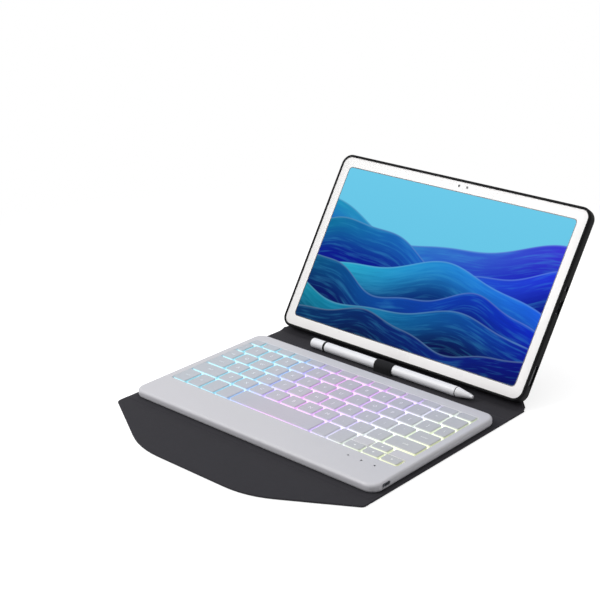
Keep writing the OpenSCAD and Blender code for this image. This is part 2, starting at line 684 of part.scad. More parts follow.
// ---- Keys: each is given by its left end, width, rear line and depth, gaps included ----
key_r = 1.6;
key_bevel = 0.4;
function key_middle(k) = [k[0] + k[1] / 2 - keys_w / 2, k[2] - k[3] / 2];
module key(k) {
    m = key_middle(k);
    translate([m[0], m[1], key_bottom_z])
        round_block(k[1] - key_gap, k[3] - key_gap, key_h - key_bevel, key_r, key_arc_steps);
    translate([m[0], m[1], key_bottom_z + key_h - key_bevel])
        round_block(k[1] - key_gap - 2 * key_bevel, k[3] - key_gap - 2 * key_bevel, key_bevel,
            key_r - key_bevel, key_arc_steps);
}
// Keys of one width side by side
function key_run(first_x, count, pitch, row, depth) =
    [for (i = [0 : count - 1]) [first_x + i * pitch, pitch, row_y[row], depth]];

function_row = concat([[0, function_first_w, row_y[0], function_row_d]],
    key_run(function_first_w, 13, function_pitch, 0, function_row_d));
number_row = concat([[0, number_first_w, row_y[1], row_d]], key_run(number_first_w, 12, key_pitch, 1, row_d));
upper_row = concat(key_run(tab_w, 12, key_pitch, 2, row_d),
    [[tab_w + 12 * key_pitch, keys_w - tab_w - 12 * key_pitch, row_y[2], row_d]]);
home_row = key_run(caps_w, 11, key_pitch, 3, row_d);
lower_row = key_run(shift_w, 10, key_pitch, 4, row_d);
backspace = [keys_w - backspace_w, backspace_w, row_y[1], row_d];
tab = [0, tab_w, row_y[2], row_d];
caps_lock = [0, caps_w, row_y[3], row_d];
enter = [caps_w + 11 * key_pitch, keys_w - caps_w - 11 * key_pitch, row_y[3], row_d];
left_shift = [0, shift_w, row_y[4], row_d];
right_shift = [shift_w + 10 * key_pitch, keys_w - shift_w - 10 * key_pitch, row_y[4], row_d];
modifiers = key_run(0, 4, modifier_w, 5, bottom_row_d);
space = [space_x, space_w, row_y[5], bottom_row_d];
right_modifiers = key_run(space_x + space_w, 2, modifier_w, 5, bottom_row_d);
arrow_left = [arrows_x, key_pitch, row_y[5] - half_row_d, half_row_d];
arrow_up = [arrows_x + key_pitch, key_pitch, row_y[5], half_row_d];
arrow_down = [arrows_x + key_pitch, key_pitch, row_y[5] - half_row_d, half_row_d];
arrow_right = [arrows_x + 2 * key_pitch, key_pitch, row_y[5] - half_row_d, half_row_d];
single_keys = [backspace, tab, caps_lock, enter, left_shift, right_shift, space,
    arrow_left, arrow_up, arrow_down, arrow_right];
all_keys = concat(function_row, number_row, upper_row, home_row, lower_row, modifiers, right_modifiers,
    single_keys);

dome_d = 4;
clip_w = 6.6;
clip_rail = 0.8;
module rubber_domes() color(bezel_white) for (k = all_keys) {
    m = key_middle(k);
    translate([m[0], m[1], dome_z]) cylinder(d = dome_d, h = key_bottom_z - dome_z);
}
module scissor_clips() color(bezel_white) for (k = all_keys) {
    m = key_middle(k);
    clip_d = min(clip_w, k[3] - key_gap - 1);
    translate([m[0], m[1], dome_z]) difference() {
        translate([-clip_w / 2, -clip_d / 2, 0]) cube([clip_w, clip_d, clip_t]);
        translate([-clip_w / 2 + clip_rail, -clip_d / 2 + clip_rail, -over])
            cube([clip_w - 2 * clip_rail, clip_d - 2 * clip_rail, clip_t + 2 * over]);
    }
}

module keys(list) color(key_grey) for (k = list) key(k);
module function_keys() keys(function_row);
module number_keys() keys(number_row);
module upper_letter_keys() keys(upper_row);
module home_letter_keys() keys(home_row);
module lower_letter_keys() keys(lower_row);
module backspace_key() keys([backspace]);
module tab_key() keys([tab]);
module caps_lock_key() keys([caps_lock]);
module enter_key() keys([enter]);
module left_shift_key() keys([left_shift]);
module right_shift_key() keys([right_shift]);
module left_control_key() keys([modifiers[0]]);
module function_shift_key() keys([modifiers[1]]);
module left_command_key() keys([modifiers[2]]);
module left_option_key() keys([modifiers[3]]);
module space_bar() keys([space]);
module right_modifier_keys() keys(right_modifiers);
module left_arrow_key() keys([arrow_left]);
module up_arrow_key() keys([arrow_up]);
module down_arrow_key() keys([arrow_down]);
module right_arrow_key() keys([arrow_right]);

base_cover();
base_liner();
base_magnets();
front_strip();
front_flap();
flap_magnets();
spine_panel();
stylus_loop();
back_center_panel();
back_left_panel();
back_right_panel();
left_leg_magnet();
right_leg_magnet();
tablet_tray();
tray_lip();
tablet_housing();
tablet_front_frame();
tablet_display();
tablet_front_camera();
tablet_rear_camera();
tablet_power_button();
tablet_volume_button();
stylus_barrel();
stylus_end_cap();
stylus_ring();
stylus_cone();
keyboard_bottom_case();
keyboard_top_case();
light_guide();
support_plate();
key_membrane();
rubber_domes();
scissor_clips();
battery();
control_board();
keyboard_usb_socket();
indicator_lights();
keyboard_magnets();
case_screws();
function_keys();
number_keys();
upper_letter_keys();
home_letter_keys();
lower_letter_keys();
backspace_key();
tab_key();
caps_lock_key();
enter_key();
left_shift_key();
right_shift_key();
left_control_key();
function_shift_key();
left_command_key();
left_option_key();
space_bar();
right_modifier_keys();
left_arrow_key();
up_arrow_key();
down_arrow_key();
right_arrow_key();
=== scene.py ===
"""Looks of a tablet keyboard case: every visible piece of the CAD frame is dressed or redrawn here.

Sizes are millimetres in the CAD's own frame, and become metres where a mesh is made. Folds, the lean of
the back cover and the outline of every key are read from the frame.
"""

import json
import math

import bpy
from mathutils import Matrix, Vector

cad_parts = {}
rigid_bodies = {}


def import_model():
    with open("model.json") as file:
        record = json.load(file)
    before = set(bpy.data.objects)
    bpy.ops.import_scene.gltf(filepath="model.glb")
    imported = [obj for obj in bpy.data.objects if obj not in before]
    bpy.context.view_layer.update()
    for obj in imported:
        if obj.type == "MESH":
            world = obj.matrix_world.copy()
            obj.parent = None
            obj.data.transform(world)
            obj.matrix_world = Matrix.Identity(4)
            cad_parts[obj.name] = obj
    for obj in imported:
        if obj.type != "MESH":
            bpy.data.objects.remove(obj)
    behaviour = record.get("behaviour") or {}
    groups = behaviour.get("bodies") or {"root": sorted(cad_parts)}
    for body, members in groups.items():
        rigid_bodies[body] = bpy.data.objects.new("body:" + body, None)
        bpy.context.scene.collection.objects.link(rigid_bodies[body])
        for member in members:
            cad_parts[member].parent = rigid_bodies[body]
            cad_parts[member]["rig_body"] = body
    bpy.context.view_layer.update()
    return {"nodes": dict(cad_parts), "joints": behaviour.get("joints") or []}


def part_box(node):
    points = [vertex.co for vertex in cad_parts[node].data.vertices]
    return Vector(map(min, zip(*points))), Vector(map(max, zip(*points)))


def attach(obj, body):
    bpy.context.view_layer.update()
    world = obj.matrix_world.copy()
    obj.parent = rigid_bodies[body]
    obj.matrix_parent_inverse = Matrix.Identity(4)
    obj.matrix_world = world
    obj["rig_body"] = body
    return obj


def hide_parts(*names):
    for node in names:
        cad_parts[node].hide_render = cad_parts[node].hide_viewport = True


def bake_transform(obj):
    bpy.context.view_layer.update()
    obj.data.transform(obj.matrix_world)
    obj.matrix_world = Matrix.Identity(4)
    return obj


MM = 0.001

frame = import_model()
scene = bpy.context.scene
joints = {j["name"]: j for j in frame["joints"]}

# ---- Sizes ----

PANEL_T = 1.8
FABRIC_T = 0.8
BOARD_BORDER = 1.6
FOLD_CLEAR = 0.3
FIT = 0.1
HINGE_Z = PANEL_T / 2

TABLET_W, TABLET_H, TABLET_T, TABLET_R = 243.8, 154.1, 7.0, 8.0
BEZEL_SIDE, BEZEL_END = 8.65, 9.1
DISPLAY_W, DISPLAY_H = TABLET_W - 2 * BEZEL_SIDE, TABLET_H - 2 * BEZEL_END
DISPLAY_R = 3.5
GLASS_T = 0.7
TRAY_WALL, TRAY_BACK = 1.1, 1.0
TRAY_W, TRAY_H = TABLET_W + 2 * (FIT + TRAY_WALL), TABLET_H + 2 * (FIT + TRAY_WALL)
TRAY_R = TABLET_R + FIT + TRAY_WALL
TRAY_D = TRAY_BACK + FIT + TABLET_T
TRAY_RISE = 3.2
LIP_REACH, LIP_T = 1.0, 0.6

FLAP_EDGE_W = 108.0
FLAP_D = 24.0
FLAP_TAPER = math.radians(30)
FLAP_TURN_R = 80.0
TAPER_R = 5.0
TIP_HEIGHT = 125.0
TOP_MARGIN = 1.0
RECESS_CLEAR = 2.0
LEG_CORNER = 4.0
LEG_STOP_SHORT = 0.3  # degrees by which a leg's range stops short of lying flat

KEY_WELL_MARGIN = 7.4
USB_W, USB_H = 9.0, 3.2
KB_R = 9.0
KB_EDGE_R = 2.4
KEY_R = 1.6


def joint_y(name):
    return joints[name]["pos_m"][1] / MM


def box_mm(node):
    """The two corners of a CAD node's box."""
    low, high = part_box(node)
    return low / MM, high / MM


FRONT_FOLD_Y = joint_y("front_strip_fold")
FLAP_FOLD_Y = joint_y("front_flap_fold")
REAR_FOLD_Y = joint_y("spine_fold")
BACK_FOLD_Y = joint_y("back_cover_fold")
FLAP_FAR_Y = FLAP_FOLD_Y - FLAP_D
HALF_W = joints["right_leg_fold"]["pos_m"][0] / MM
BACK_H = TRAY_RISE + TRAY_H + TOP_MARGIN

# The tablet leaves its tray square to the glass, which gives the back cover's lean
out_axis = joints["tablet_removal"]["axis"]
LEAN = math.atan2(out_axis[2], -out_axis[1])
leg_axis = joints["left_leg_fold"]["axis"]
FOLD_LINE = math.asin(leg_axis[0])
LEG_TURN = math.radians(joints["left_leg_fold"]["range_deg"][1] + LEG_STOP_SHORT)

# From the back cover's flat drawing (X across, Y up from its fold, Z to the keyboard) to its place
TO_BACK = Matrix.Translation((0, BACK_FOLD_Y, HINGE_Z)) @ Matrix.Rotation(math.pi / 2 - LEAN, 4, "X")
# From the tablet's drawing (centred, Z from the tray's back) to its place
TO_TRAY = TO_BACK @ Matrix.Translation((0, TRAY_RISE + TRAY_H / 2, PANEL_T / 2 + FIT))


def to_leg(side):
    """From the back cover's flat drawing to the side panel folded behind it."""
    corner = Vector((side * HALF_W, 0, 0))
    axis = Vector((-side * math.sin(FOLD_LINE), math.cos(FOLD_LINE), 0))
    turn = Matrix.Rotation(side * LEG_TURN, 4, axis)
    return TO_BACK @ Matrix.Translation(corner) @ turn @ Matrix.Translation(-corner)


# ---- Shader helpers ----


class Nodes:
    """Short names for the nodes of one material."""

    def __init__(self, name):
        self.material = bpy.data.materials.new(name)
        self.material.use_nodes = True
        self.tree = self.material.node_tree
        self.shader = self.tree.nodes["Principled BSDF"]

    def node(self, kind, inputs=(), **settings):
        made = self.tree.nodes.new(kind)
        for key, value in settings.items():
            setattr(made, key, value)
        for key, value in dict(inputs).items():
            self.put(made.inputs[key], value)
        return made

    def put(self, socket, value):
        if isinstance(value, bpy.types.NodeSocket):
            self.tree.links.new(value, socket)
        else:
            socket.default_value = value

    def set(self, **values):
        for key, value in values.items():
            self.put(self.shader.inputs[key.replace("_", " ")], value)
        return self

    def math(self, operation, a, b=0.0):
        return self.node("ShaderNodeMath", {0: a, 1: b}, operation=operation).outputs[0]

    def ramp(self, value, low, high, from_value=0.0, to_value=1.0, smooth=False):
        made = self.node(
            "ShaderNodeMapRange",
            {0: value, 1: low, 2: high, 3: from_value, 4: to_value},
            interpolation_type="SMOOTHSTEP" if smooth else "LINEAR",
        )
        return made.outputs[0]

    def mix(self, factor, a, b):
        return self.node("ShaderNodeMix", {0: factor, 6: a, 7: b}, data_type="RGBA").outputs[2]

    def place(self):
        return self.node("ShaderNodeTexCoord").outputs["Object"]

    def split(self, vector):
        return self.node("ShaderNodeSeparateXYZ", {0: vector}).outputs

    def noise(self, vector, per_mm, detail):
        inputs = {"Vector": vector, "Scale": per_mm / MM, "Detail": detail}
        return self.node("ShaderNodeTexNoise", inputs).outputs[0]

    def bump(self, height, depth_mm, strength):
        inputs = {"Height": height, "Distance": depth_mm * MM, "Strength": strength}
        self.put(self.shader.inputs["Normal"], self.node("ShaderNodeBump", inputs).outputs[0])


def rgb(r, g, b):
    """A colour given in display values from 0 to 255."""
    parts = [c / 255 for c in (r, g, b)]
    return tuple(c / 12.92 if c < 0.04045 else ((c + 0.055) / 1.055) ** 2.4 for c in parts) + (1.0,)


def shade(colour, factor):
    """A colour made darker or lighter."""
    return tuple(min(1, c * factor) for c in colour[:3]) + (1,)


def woven(name, colour, pitch_mm, depth_mm):
    """Plain-woven cloth: warp and weft threads, uneven dye and slubs, and the weave painted darker in its
    hollows as shade.
    """
    n = Nodes(name)
    place = n.place()
    x, y, z = n.split(place)
    up = n.math("ADD", y, z)
    per = 2 * math.pi / (pitch_mm * MM)
    warp = n.math("SINE", n.math("MULTIPLY", x, per))
    weft = n.math("SINE", n.math("MULTIPLY", up, per))
    weave = n.ramp(n.math("MULTIPLY", warp, weft), -1, 1)
    slub = n.noise(place, 0.35, 4)
    cloud = n.noise(place, 0.03, 3)
    dye_and_weave_shade = n.math("ADD", n.math("MULTIPLY", slub, 0.45), n.math("MULTIPLY", cloud, 0.35))
    # The weave lightens the threads' crowns and darkens its hollows: painted light and shade
    dye_and_weave_shade = n.math("ADD", dye_and_weave_shade, n.math("MULTIPLY", weave, 0.2))
    n.set(
        Base_Color=n.mix(dye_and_weave_shade, shade(colour, 0.78), shade(colour, 1.22)),
        Roughness=0.85,
        Sheen_Weight=0.03,
        Sheen_Roughness=0.5,
        Specular_IOR_Level=0.25,
    )
    n.bump(n.math("ADD", weave, n.math("MULTIPLY", slub, 0.6)), depth_mm, 0.7)
    return n.material


def moulded(name, colour, rough, grain_mm, depth_mm, specular=0.5):
    """Moulded plastic or rubber with a fine spark-eroded grain and faint handling marks."""
    n = Nodes(name)
    place = n.place()
    grain = n.noise(place, 1 / grain_mm, 3)
    smear = n.noise(place, 0.04, 3)
    n.set(
        Base_Color=n.mix(smear, shade(colour, 0.95), colour),
        Roughness=n.ramp(smear, 0.3, 0.7, rough - 0.05, rough + 0.05),
        Specular_IOR_Level=specular,
    )
    n.bump(grain, depth_mm, 0.5)
    return n.material


METAL_GRAIN = 0.15


def metal(name, colour, rough):
    """Bare metal with a fine satin grain."""
    n = Nodes(name)
    grain = n.noise(n.place(), 1 / METAL_GRAIN, 2)
    n.set(Base_Color=colour, Metallic=1.0, Roughness=n.ramp(grain, 0.2, 0.8, rough - 0.08, rough + 0.08))
    n.bump(grain, 0.01, 0.4)
    return n.material


# ---- Backlight ----

GLOW_SPAN = 0.12
# The right part leans: its rear rows are whiter and its front rows yellower
GLOW_LEAN_FROM, GLOW_LEAN_TO, GLOW_LEAN = -0.01, 0.06, -0.4
GLOW = (
    (0.0, rgb(112, 232, 234)),
    (0.24, rgb(110, 218, 238)),
    (0.31, rgb(135, 172, 245)),
    (0.38, rgb(205, 150, 242)),
    (0.46, rgb(242, 155, 240)),
    (0.58, rgb(228, 160, 246)),
    (0.68, rgb(205, 180, 248)),
    (0.76, rgb(222, 226, 240)),
    (0.86, rgb(225, 245, 195)),
    (1.0, rgb(242, 252, 160)),
)


def glow_colour(n):
    """Bands of colour from cyan at the left to yellow-green at the right."""
    x, y, _ = n.split(n.place())
    lean = n.ramp(x, GLOW_LEAN_FROM, GLOW_LEAN_TO, 0, GLOW_LEAN, True)
    run = n.math("ADD", x, n.math("MULTIPLY", y, lean))
    made = n.node("ShaderNodeValToRGB", {0: n.ramp(run, -GLOW_SPAN, GLOW_SPAN)})
    stops = made.color_ramp.elements
    stops[0].position, stops[0].color = GLOW[0]
    stops[1].position, stops[1].color = GLOW[-1]
    for position, colour in GLOW[1:-1]:
        stops.new(position).color = colour
    return made.outputs[0]


PALE_GLOW = rgb(252, 252, 255)
KEY_PALE, GUIDE_PALE = 0.3, 0.35  # how far the glow of the keys and of the guide goes to the pale one
# Share of the glow kept on the keys' right sides: painted shade
RIGHT_SIDE_PAINTED_SHADE = 0.55


def lit_plastic(name, colour, low_mm, high_mm, strength):
    """Milky key plastic, lit from below: its sides glow most near their foot.

    The keys' right sides glow dimmer and keep the glow's full colour: painted shade for the sides turned away
    from the lamps. The other sides glow paler, painted as lit.
    """
    n = Nodes(name)
    glow = glow_colour(n)
    z = n.split(n.place())[2]
    foot = n.ramp(z, low_mm * MM, high_mm * MM, 1, 0, True)
    normal = n.split(n.node("ShaderNodeNewGeometry").outputs["Normal"])
    # right: how far a face turns to +X, away from the lamps; those faces get painted shade
    right = n.ramp(normal[0], 0.3, 0.9)
    light = n.math("MULTIPLY", n.math("MULTIPLY", foot, n.ramp(right, 0, 1, 1, RIGHT_SIDE_PAINTED_SHADE)), strength)
    pale = n.mix(KEY_PALE, glow, PALE_GLOW)
    grain = n.noise(n.place(), 5, 2)
    n.set(
        # The base colour takes a little of the backlight's colour: painted light
        Base_Color=n.mix(0.05, colour, glow),
        Roughness=0.42,
        Emission_Color=n.mix(right, pale, glow),
        Emission_Strength=light,
    )
    n.bump(grain, 0.01, 0.3)
    return n.material


def glowing(name, strength):
    """A milky sheet that glows evenly in the backlight's bands of colour."""
    n = Nodes(name)
    n.set(
        Base_Color=rgb(235, 232, 245),
        Roughness=0.5,
        Emission_Color=n.mix(GUIDE_PALE, glow_colour(n), PALE_GLOW),
        Emission_Strength=strength,
    )
    n.bump(n.noise(n.place(), 2, 2), 0.02, 0.4)
    return n.material


def printed(name):
    """White print that the backlight tints a little."""
    n = Nodes(name)
    tint = glow_colour(n)
    n.set(Base_Color=rgb(236, 236, 242), Roughness=0.5, Emission_Color=tint, Emission_Strength=0.1)
    return n.material


# ---- Wallpaper: rolling bands, light sky above ----

SKY = (rgb(96, 194, 228), rgb(108, 204, 236))
# Crest height, swell, waves across, phase, colour at the left and at the right, foot colour
SWELLS = (
    (0.72, 0.10, 0.8, 2.6, rgb(30, 150, 190), rgb(58, 52, 214), rgb(22, 34, 186)),
    (0.60, 0.09, 1.1, 0.4, rgb(10, 118, 160), rgb(34, 52, 222), rgb(4, 22, 140)),
    (0.47, 0.09, 0.9, 4.4, rgb(40, 178, 196), rgb(26, 92, 226), rgb(2, 46, 118)),
    (0.35, 0.08, 1.3, 1.7, rgb(4, 84, 130), rgb(12, 40, 196), rgb(1, 14, 92)),
    (0.23, 0.07, 1.0, 3.3, rgb(16, 134, 160), rgb(8, 26, 160), rgb(1, 12, 74)),
    (0.11, 0.05, 1.4, 5.0, rgb(2, 50, 98), rgb(6, 16, 128), rgb(1, 6, 48)),
)
FOOT_DEPTH = 0.24
STREAK = (9.0, 60.0)  # over the display's width, and over its height
STREAK_TONE = 0.2
STREAK_LIGHT = rgb(70, 180, 226)
RIPPLE, RIPPLES_PER_WAVE = 0.22, 2.7
CREST, CREST_TONE = 0.012, 0.2
CREST_LIGHT = rgb(170, 220, 246)
SOFT_EDGE = 0.003
DISPLAY_LIGHT = 0.97


def wallpaper(name):
    """A lit display that shows the rolling bands."""
    n = Nodes(name)
    # The display's own coordinates: undo the tray's place and lean
    back = TO_TRAY.inverted()
    undo = {"Vector": n.place(), "Rotation": back.to_euler(), "Location": back.to_translation() * MM}
    x, y, _ = n.split(n.node("ShaderNodeMapping", undo).outputs[0])
    u = n.ramp(x, -DISPLAY_W / 2 * MM, DISPLAY_W / 2 * MM)
    v = n.ramp(y, -DISPLAY_H / 2 * MM, DISPLAY_H / 2 * MM)
    colour = n.mix(v, *SKY)
    for crest, swell, waves, phase, left, right, foot in SWELLS:
        angle = n.math("ADD", n.math("MULTIPLY", u, 2 * math.pi * waves), phase)
        ripple = n.math("SINE", n.math("MULTIPLY", angle, RIPPLES_PER_WAVE))
        wave = n.math("ADD", n.math("SINE", angle), n.math("MULTIPLY", ripple, RIPPLE))
        height = n.math("ADD", n.math("MULTIPLY", wave, swell), crest)
        depth = n.math("SUBTRACT", height, v)
        body = n.mix(u, left, right)
        body = n.mix(n.ramp(depth, 0, FOOT_DEPTH, 0, 1, True), body, foot)
        # Silky streaks that follow the crest
        along, below = n.math("MULTIPLY", u, STREAK[0]), n.math("MULTIPLY", depth, STREAK[1])
        grain = n.node("ShaderNodeCombineXYZ", {0: along, 1: phase, 2: below}).outputs[0]
        silk = n.node("ShaderNodeTexNoise", {"Vector": grain, "Scale": 1.0, "Detail": 3.0}).outputs[0]
        body = n.mix(n.ramp(silk, 0.5, 0.75, 0, STREAK_TONE), body, STREAK_LIGHT)
        body = n.mix(n.ramp(silk, 0.25, 0.5, STREAK_TONE, 0), body, foot)
        body = n.mix(n.ramp(depth, 0, CREST, CREST_TONE, 0, True), body, CREST_LIGHT)
        colour = n.mix(n.ramp(depth, -SOFT_EDGE, SOFT_EDGE), colour, body)
    n.set(
        Base_Color=rgb(12, 14, 20),
        Roughness=0.12,
        Emission_Color=colour,
        Emission_Strength=DISPLAY_LIGHT,
        Specular_IOR_Level=0.0,
    )
    return n.material


CHARCOAL = rgb(40, 39, 44)
cloth = woven("cover_cloth", CHARCOAL, 0.55, 0.05)
lining = woven("lining_cloth", CHARCOAL, 0.55, 0.03)
elastic = woven("elastic_band", rgb(16, 16, 19), 0.8, 0.12)
tray_rubber = moulded("tray_rubber", rgb(11, 11, 13), 0.6, 0.3, 0.015, specular=0.1)
shell_plastic = moulded("shell_plastic", rgb(208, 207, 212), 0.45, 0.25, 0.01)
# The deck's plastic, painted darker for the under shell: painted shade
shell_plastic_painted_shade = moulded("shell_plastic_painted_shade", rgb(188, 187, 193), 0.5, 0.25, 0.01)
bezel = moulded("bezel_glass", rgb(244, 242, 241), 0.3, 0.5, 0.002)
screen_edge = moulded("screen_edge", rgb(14, 16, 22), 0.25, 0.5, 0.002)
stylus_white = moulded("stylus_white", rgb(244, 244, 247), 0.35, 0.4, 0.005)
stylus_black = moulded("stylus_black", rgb(12, 12, 14), 0.6, 0.3, 0.01, specular=0.2)
lens = moulded("camera_lens", rgb(8, 9, 14), 0.15, 0.5, 0.001, specular=0.3)
lamp_grey = moulded("lamp_grey", rgb(150, 150, 156), 0.5, 0.3, 0.002)
silicone = moulded("dome_silicone", rgb(228, 228, 232), 0.45, 0.3, 0.01)
circuit = moulded("circuit_board", rgb(28, 92, 58), 0.4, 0.4, 0.02)
cell_wrap = moulded("battery_wrap", rgb(80, 116, 160), 0.35, 0.5, 0.01)
blasted = metal("blasted_aluminium", rgb(150, 152, 156), 0.38)
steel = metal("plain_steel", rgb(176, 178, 182), 0.3)
nickel = metal("nickel_plate", rgb(196, 196, 200), 0.18)
display_picture = wallpaper("display_picture")
guide_light = glowing("guide_light", 0.8)
membrane_light = glowing("membrane_light", 0.42)

# ---- Outlines and lofts ----


def round_rect(w, d, r, centre, steps):
    """Counter-clockwise outline of a rectangle with round corners."""
    points = []
    for quarter, (sx, sy) in enumerate(((1, 1), (-1, 1), (-1, -1), (1, -1))):
        cx, cy = centre[0] + sx * (w / 2 - r), centre[1] + sy * (d / 2 - r)
        for i in range(steps + 1):
            a = (quarter + i / steps) * math.pi / 2
            points.append((cx + r * math.cos(a), cy + r * math.sin(a)))
    return points


def inset(points, distance):
    """A polygon moved inwards by a distance, with mitred corners."""
    made = []
    for i, p in enumerate(points):
        a, b = Vector(points[i - 1]), Vector(points[(i + 1) % len(points)])
        into, out = (Vector(p) - a).normalized(), (b - Vector(p)).normalized()
        n1, n2 = Vector((-into.y, into.x)), Vector((-out.y, out.x))
        made.append(Vector(p) + (n1 + n2) * distance / max(0.15, 1 + n1.dot(n2)))
    return made


def bend_through(a, corner, b, steps):
    """Points of a soft bend from one point to another, drawn towards a corner."""
    ts = [k / steps for k in range(steps + 1)]
    return [a * (1 - t) ** 2 + corner * 2 * t * (1 - t) + b * t * t for t in ts]


TURN_STEPS = 6


def turn_corners(corners, radii, distance):
    """A counter-clockwise polygon moved inwards, with each corner turned on its own radius."""
    moved = inset(corners, distance)
    made = []
    for i, p in enumerate(moved):
        to_last = (moved[i - 1] - p).normalized()
        to_next = (moved[(i + 1) % len(moved)] - p).normalized()
        outward = to_last.cross(to_next) < 0
        radius = max(radii[i] - distance, 0.3) if outward else radii[i] + distance
        room = 0.45 * min((moved[i - 1] - p).length, (moved[(i + 1) % len(moved)] - p).length)
        reach = min(radius / math.tan(to_last.angle(to_next) / 2), room)
        a, b = p + to_last * reach, p + to_next * reach
        made += [tuple(q) for q in bend_through(a, p, b, TURN_STEPS)]
    return made


def layers(rect, profile, steps=10):
    """A round rectangle (width, depth, radius, centre) at each (inset, height) of a profile."""
    w, d, r, centre = rect
    loops = []
    for i, z in profile:
        ring = round_rect(w - 2 * i, d - 2 * i, max(r - i, 0.05), centre, steps)
        loops.append([(x, y, z) for x, y in ring])
    return loops


def loft(loops, caps=True):
    """Points and faces of a skin over loops that have the same number of points."""
    count = len(loops[0])
    points = [p for loop in loops for p in loop]
    faces = []
    for k in range(len(loops) - 1):
        for i in range(count):
            j = (i + 1) % count
            faces.append((k * count + i, k * count + j, (k + 1) * count + j, (k + 1) * count + i))
    if caps:
        faces.append(tuple(reversed(range(count))))
        faces.append(tuple(range(len(points) - count, len(points))))
    return points, faces


def joined(*parts):
    """Several skins as one."""
    points, faces = [], []
    for part_points, part_faces in parts:
        start = len(points)
        points += part_points
        faces += [tuple(start + i for i in face) for face in part_faces]
    return points, faces


def box_skin(low, high):
    (x0, y0, z0), (x1, y1, z1) = low, high
    ring = [(x0, y0), (x1, y0), (x1, y1), (x0, y1)]
    return loft([[(x, y, z) for x, y in ring] for z in (z0, z1)])


SHARP = 35  # degrees between faces from which an edge shows as sharp


def add(name, skin, material, body=None, nodes=(), to=None, sharp=SHARP):
    """Makes a piece from a skin, rides it on its body and hides the CAD nodes it stands for."""
    points, faces = skin
    if to is not None:
        points = [to @ Vector(p) for p in points]
    mesh = bpy.data.meshes.new(name)
    mesh.from_pydata([Vector(p) * MM for p in points], [], faces)
    mesh.materials.append(material)
    mesh.polygons.foreach_set("use_smooth", [True] * len(faces))
    mesh.set_sharp_from_angle(angle=math.radians(sharp))
    piece = bpy.data.objects.new(name, mesh)
    scene.collection.objects.link(piece)
    if body:
        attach(piece, body)
    if nodes:
        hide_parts(*nodes)
    return piece


def cut(piece, skin, to=None):
    """Cuts a skin out of a piece."""
    tool = add(piece.name + "_cutter", skin, cloth, to=to)
    change = piece.modifiers.new("cut", "BOOLEAN")
    change.object, change.solver = tool, "EXACT"
    done = piece.evaluated_get(bpy.context.evaluated_depsgraph_get())
    mesh = bpy.data.meshes.new_from_object(done)
    piece.modifiers.clear()
    piece.data = mesh
    mesh.set_sharp_from_angle(angle=math.radians(SHARP))
    bpy.data.objects.remove(tool)


# ---- Fabric panels ----

EDGE = FABRIC_T / 2
BOARD = PANEL_T / 2
RAMP = 1.1
# (inset, height from the mid-plane): the outer face has its board raised inside a border of bare
# cloth, and the inner face is flat to a rounded edge
PANEL_PROFILE = (
    (BOARD_BORDER + RAMP, -BOARD),
    (BOARD_BORDER + 0.5 * RAMP, -BOARD + 0.08),
    (BOARD_BORDER + 0.15 * RAMP, -EDGE - 0.12),
    (BOARD_BORDER - 0.2, -EDGE),
    (0.35, -EDGE),
    (0.08, -EDGE * 0.6),
    (0.0, 0.0),
    (0.03, 0.4),
    (0.2, 0.68),
    (0.5, 0.82),
    (1.1, 0.88),
    (2.0, BOARD),
)
FOLD_GAP = BOARD  # from a fold's axis to a panel's fabric edge


def panel(name, shape, body, node, to=None):
    """A covered board from its (corners, radii)."""
    placed = Matrix.Translation((0, 0, HINGE_Z)) if to is None else to
    loops = [[(x, y, z) for x, y in turn_corners(*shape, d)] for d, z in PANEL_PROFILE]
    return add(name, loft(loops), cloth, body, [node], placed)


PANEL_R = 1.0
JOINED_R = 0.5  # corners of the strip and the flap at their folds


def rectangle(x, y0, y1):
    return [(x, y0), (x, y1), (-x, y1), (-x, y0)], [PANEL_R] * 4


def front_half(dist):
    """Half the width of the strip and the flap at a distance from the far edge."""
    return min(HALF_W, FLAP_EDGE_W / 2 + dist / math.tan(FLAP_TAPER))


TAPER_DEPTH = (HALF_W - FLAP_EDGE_W / 2) * math.tan(FLAP_TAPER)


def mirrored(right, radii):
    """A shape from its right half's corners, from the front to the rear."""
    return right + [(-x, y) for x, y in reversed(right)], radii + radii[::-1]


def strip_outline():
    low, high = FLAP_FOLD_Y + FOLD_GAP, FRONT_FOLD_Y - FOLD_GAP
    right = [(front_half(low - FLAP_FAR_Y), low), (HALF_W, FLAP_FAR_Y + TAPER_DEPTH), (HALF_W, high)]
    return mirrored(right, [JOINED_R, TAPER_R, JOINED_R])


def flap_outline():
    high = FLAP_FOLD_Y - FOLD_GAP
    right = [(FLAP_EDGE_W / 2, FLAP_FAR_Y), (front_half(high - FLAP_FAR_Y), high)]
    return mirrored(right, [FLAP_TURN_R, JOINED_R])


LEG_OFF = FOLD_GAP / math.cos(FOLD_LINE)  # from a leg's fold line to its boards, across the back
LEG_FOOT_CUT = 1.0
LEG_INNER_R = 3.0
RECESS_R = (8.0, 6.0)
TIP_R = 6.0


def fold_x(up):
    """Where the left fold line is, at a height up the back."""
    return -HALF_W + up * math.tan(FOLD_LINE)


def center_outline():
    low, high = FOLD_GAP, TIP_HEIGHT
    right = [(-fold_x(low) - LEG_OFF, low), (-fold_x(high) - LEG_OFF, high)]
    return mirrored(right, [PANEL_R, TIP_R])


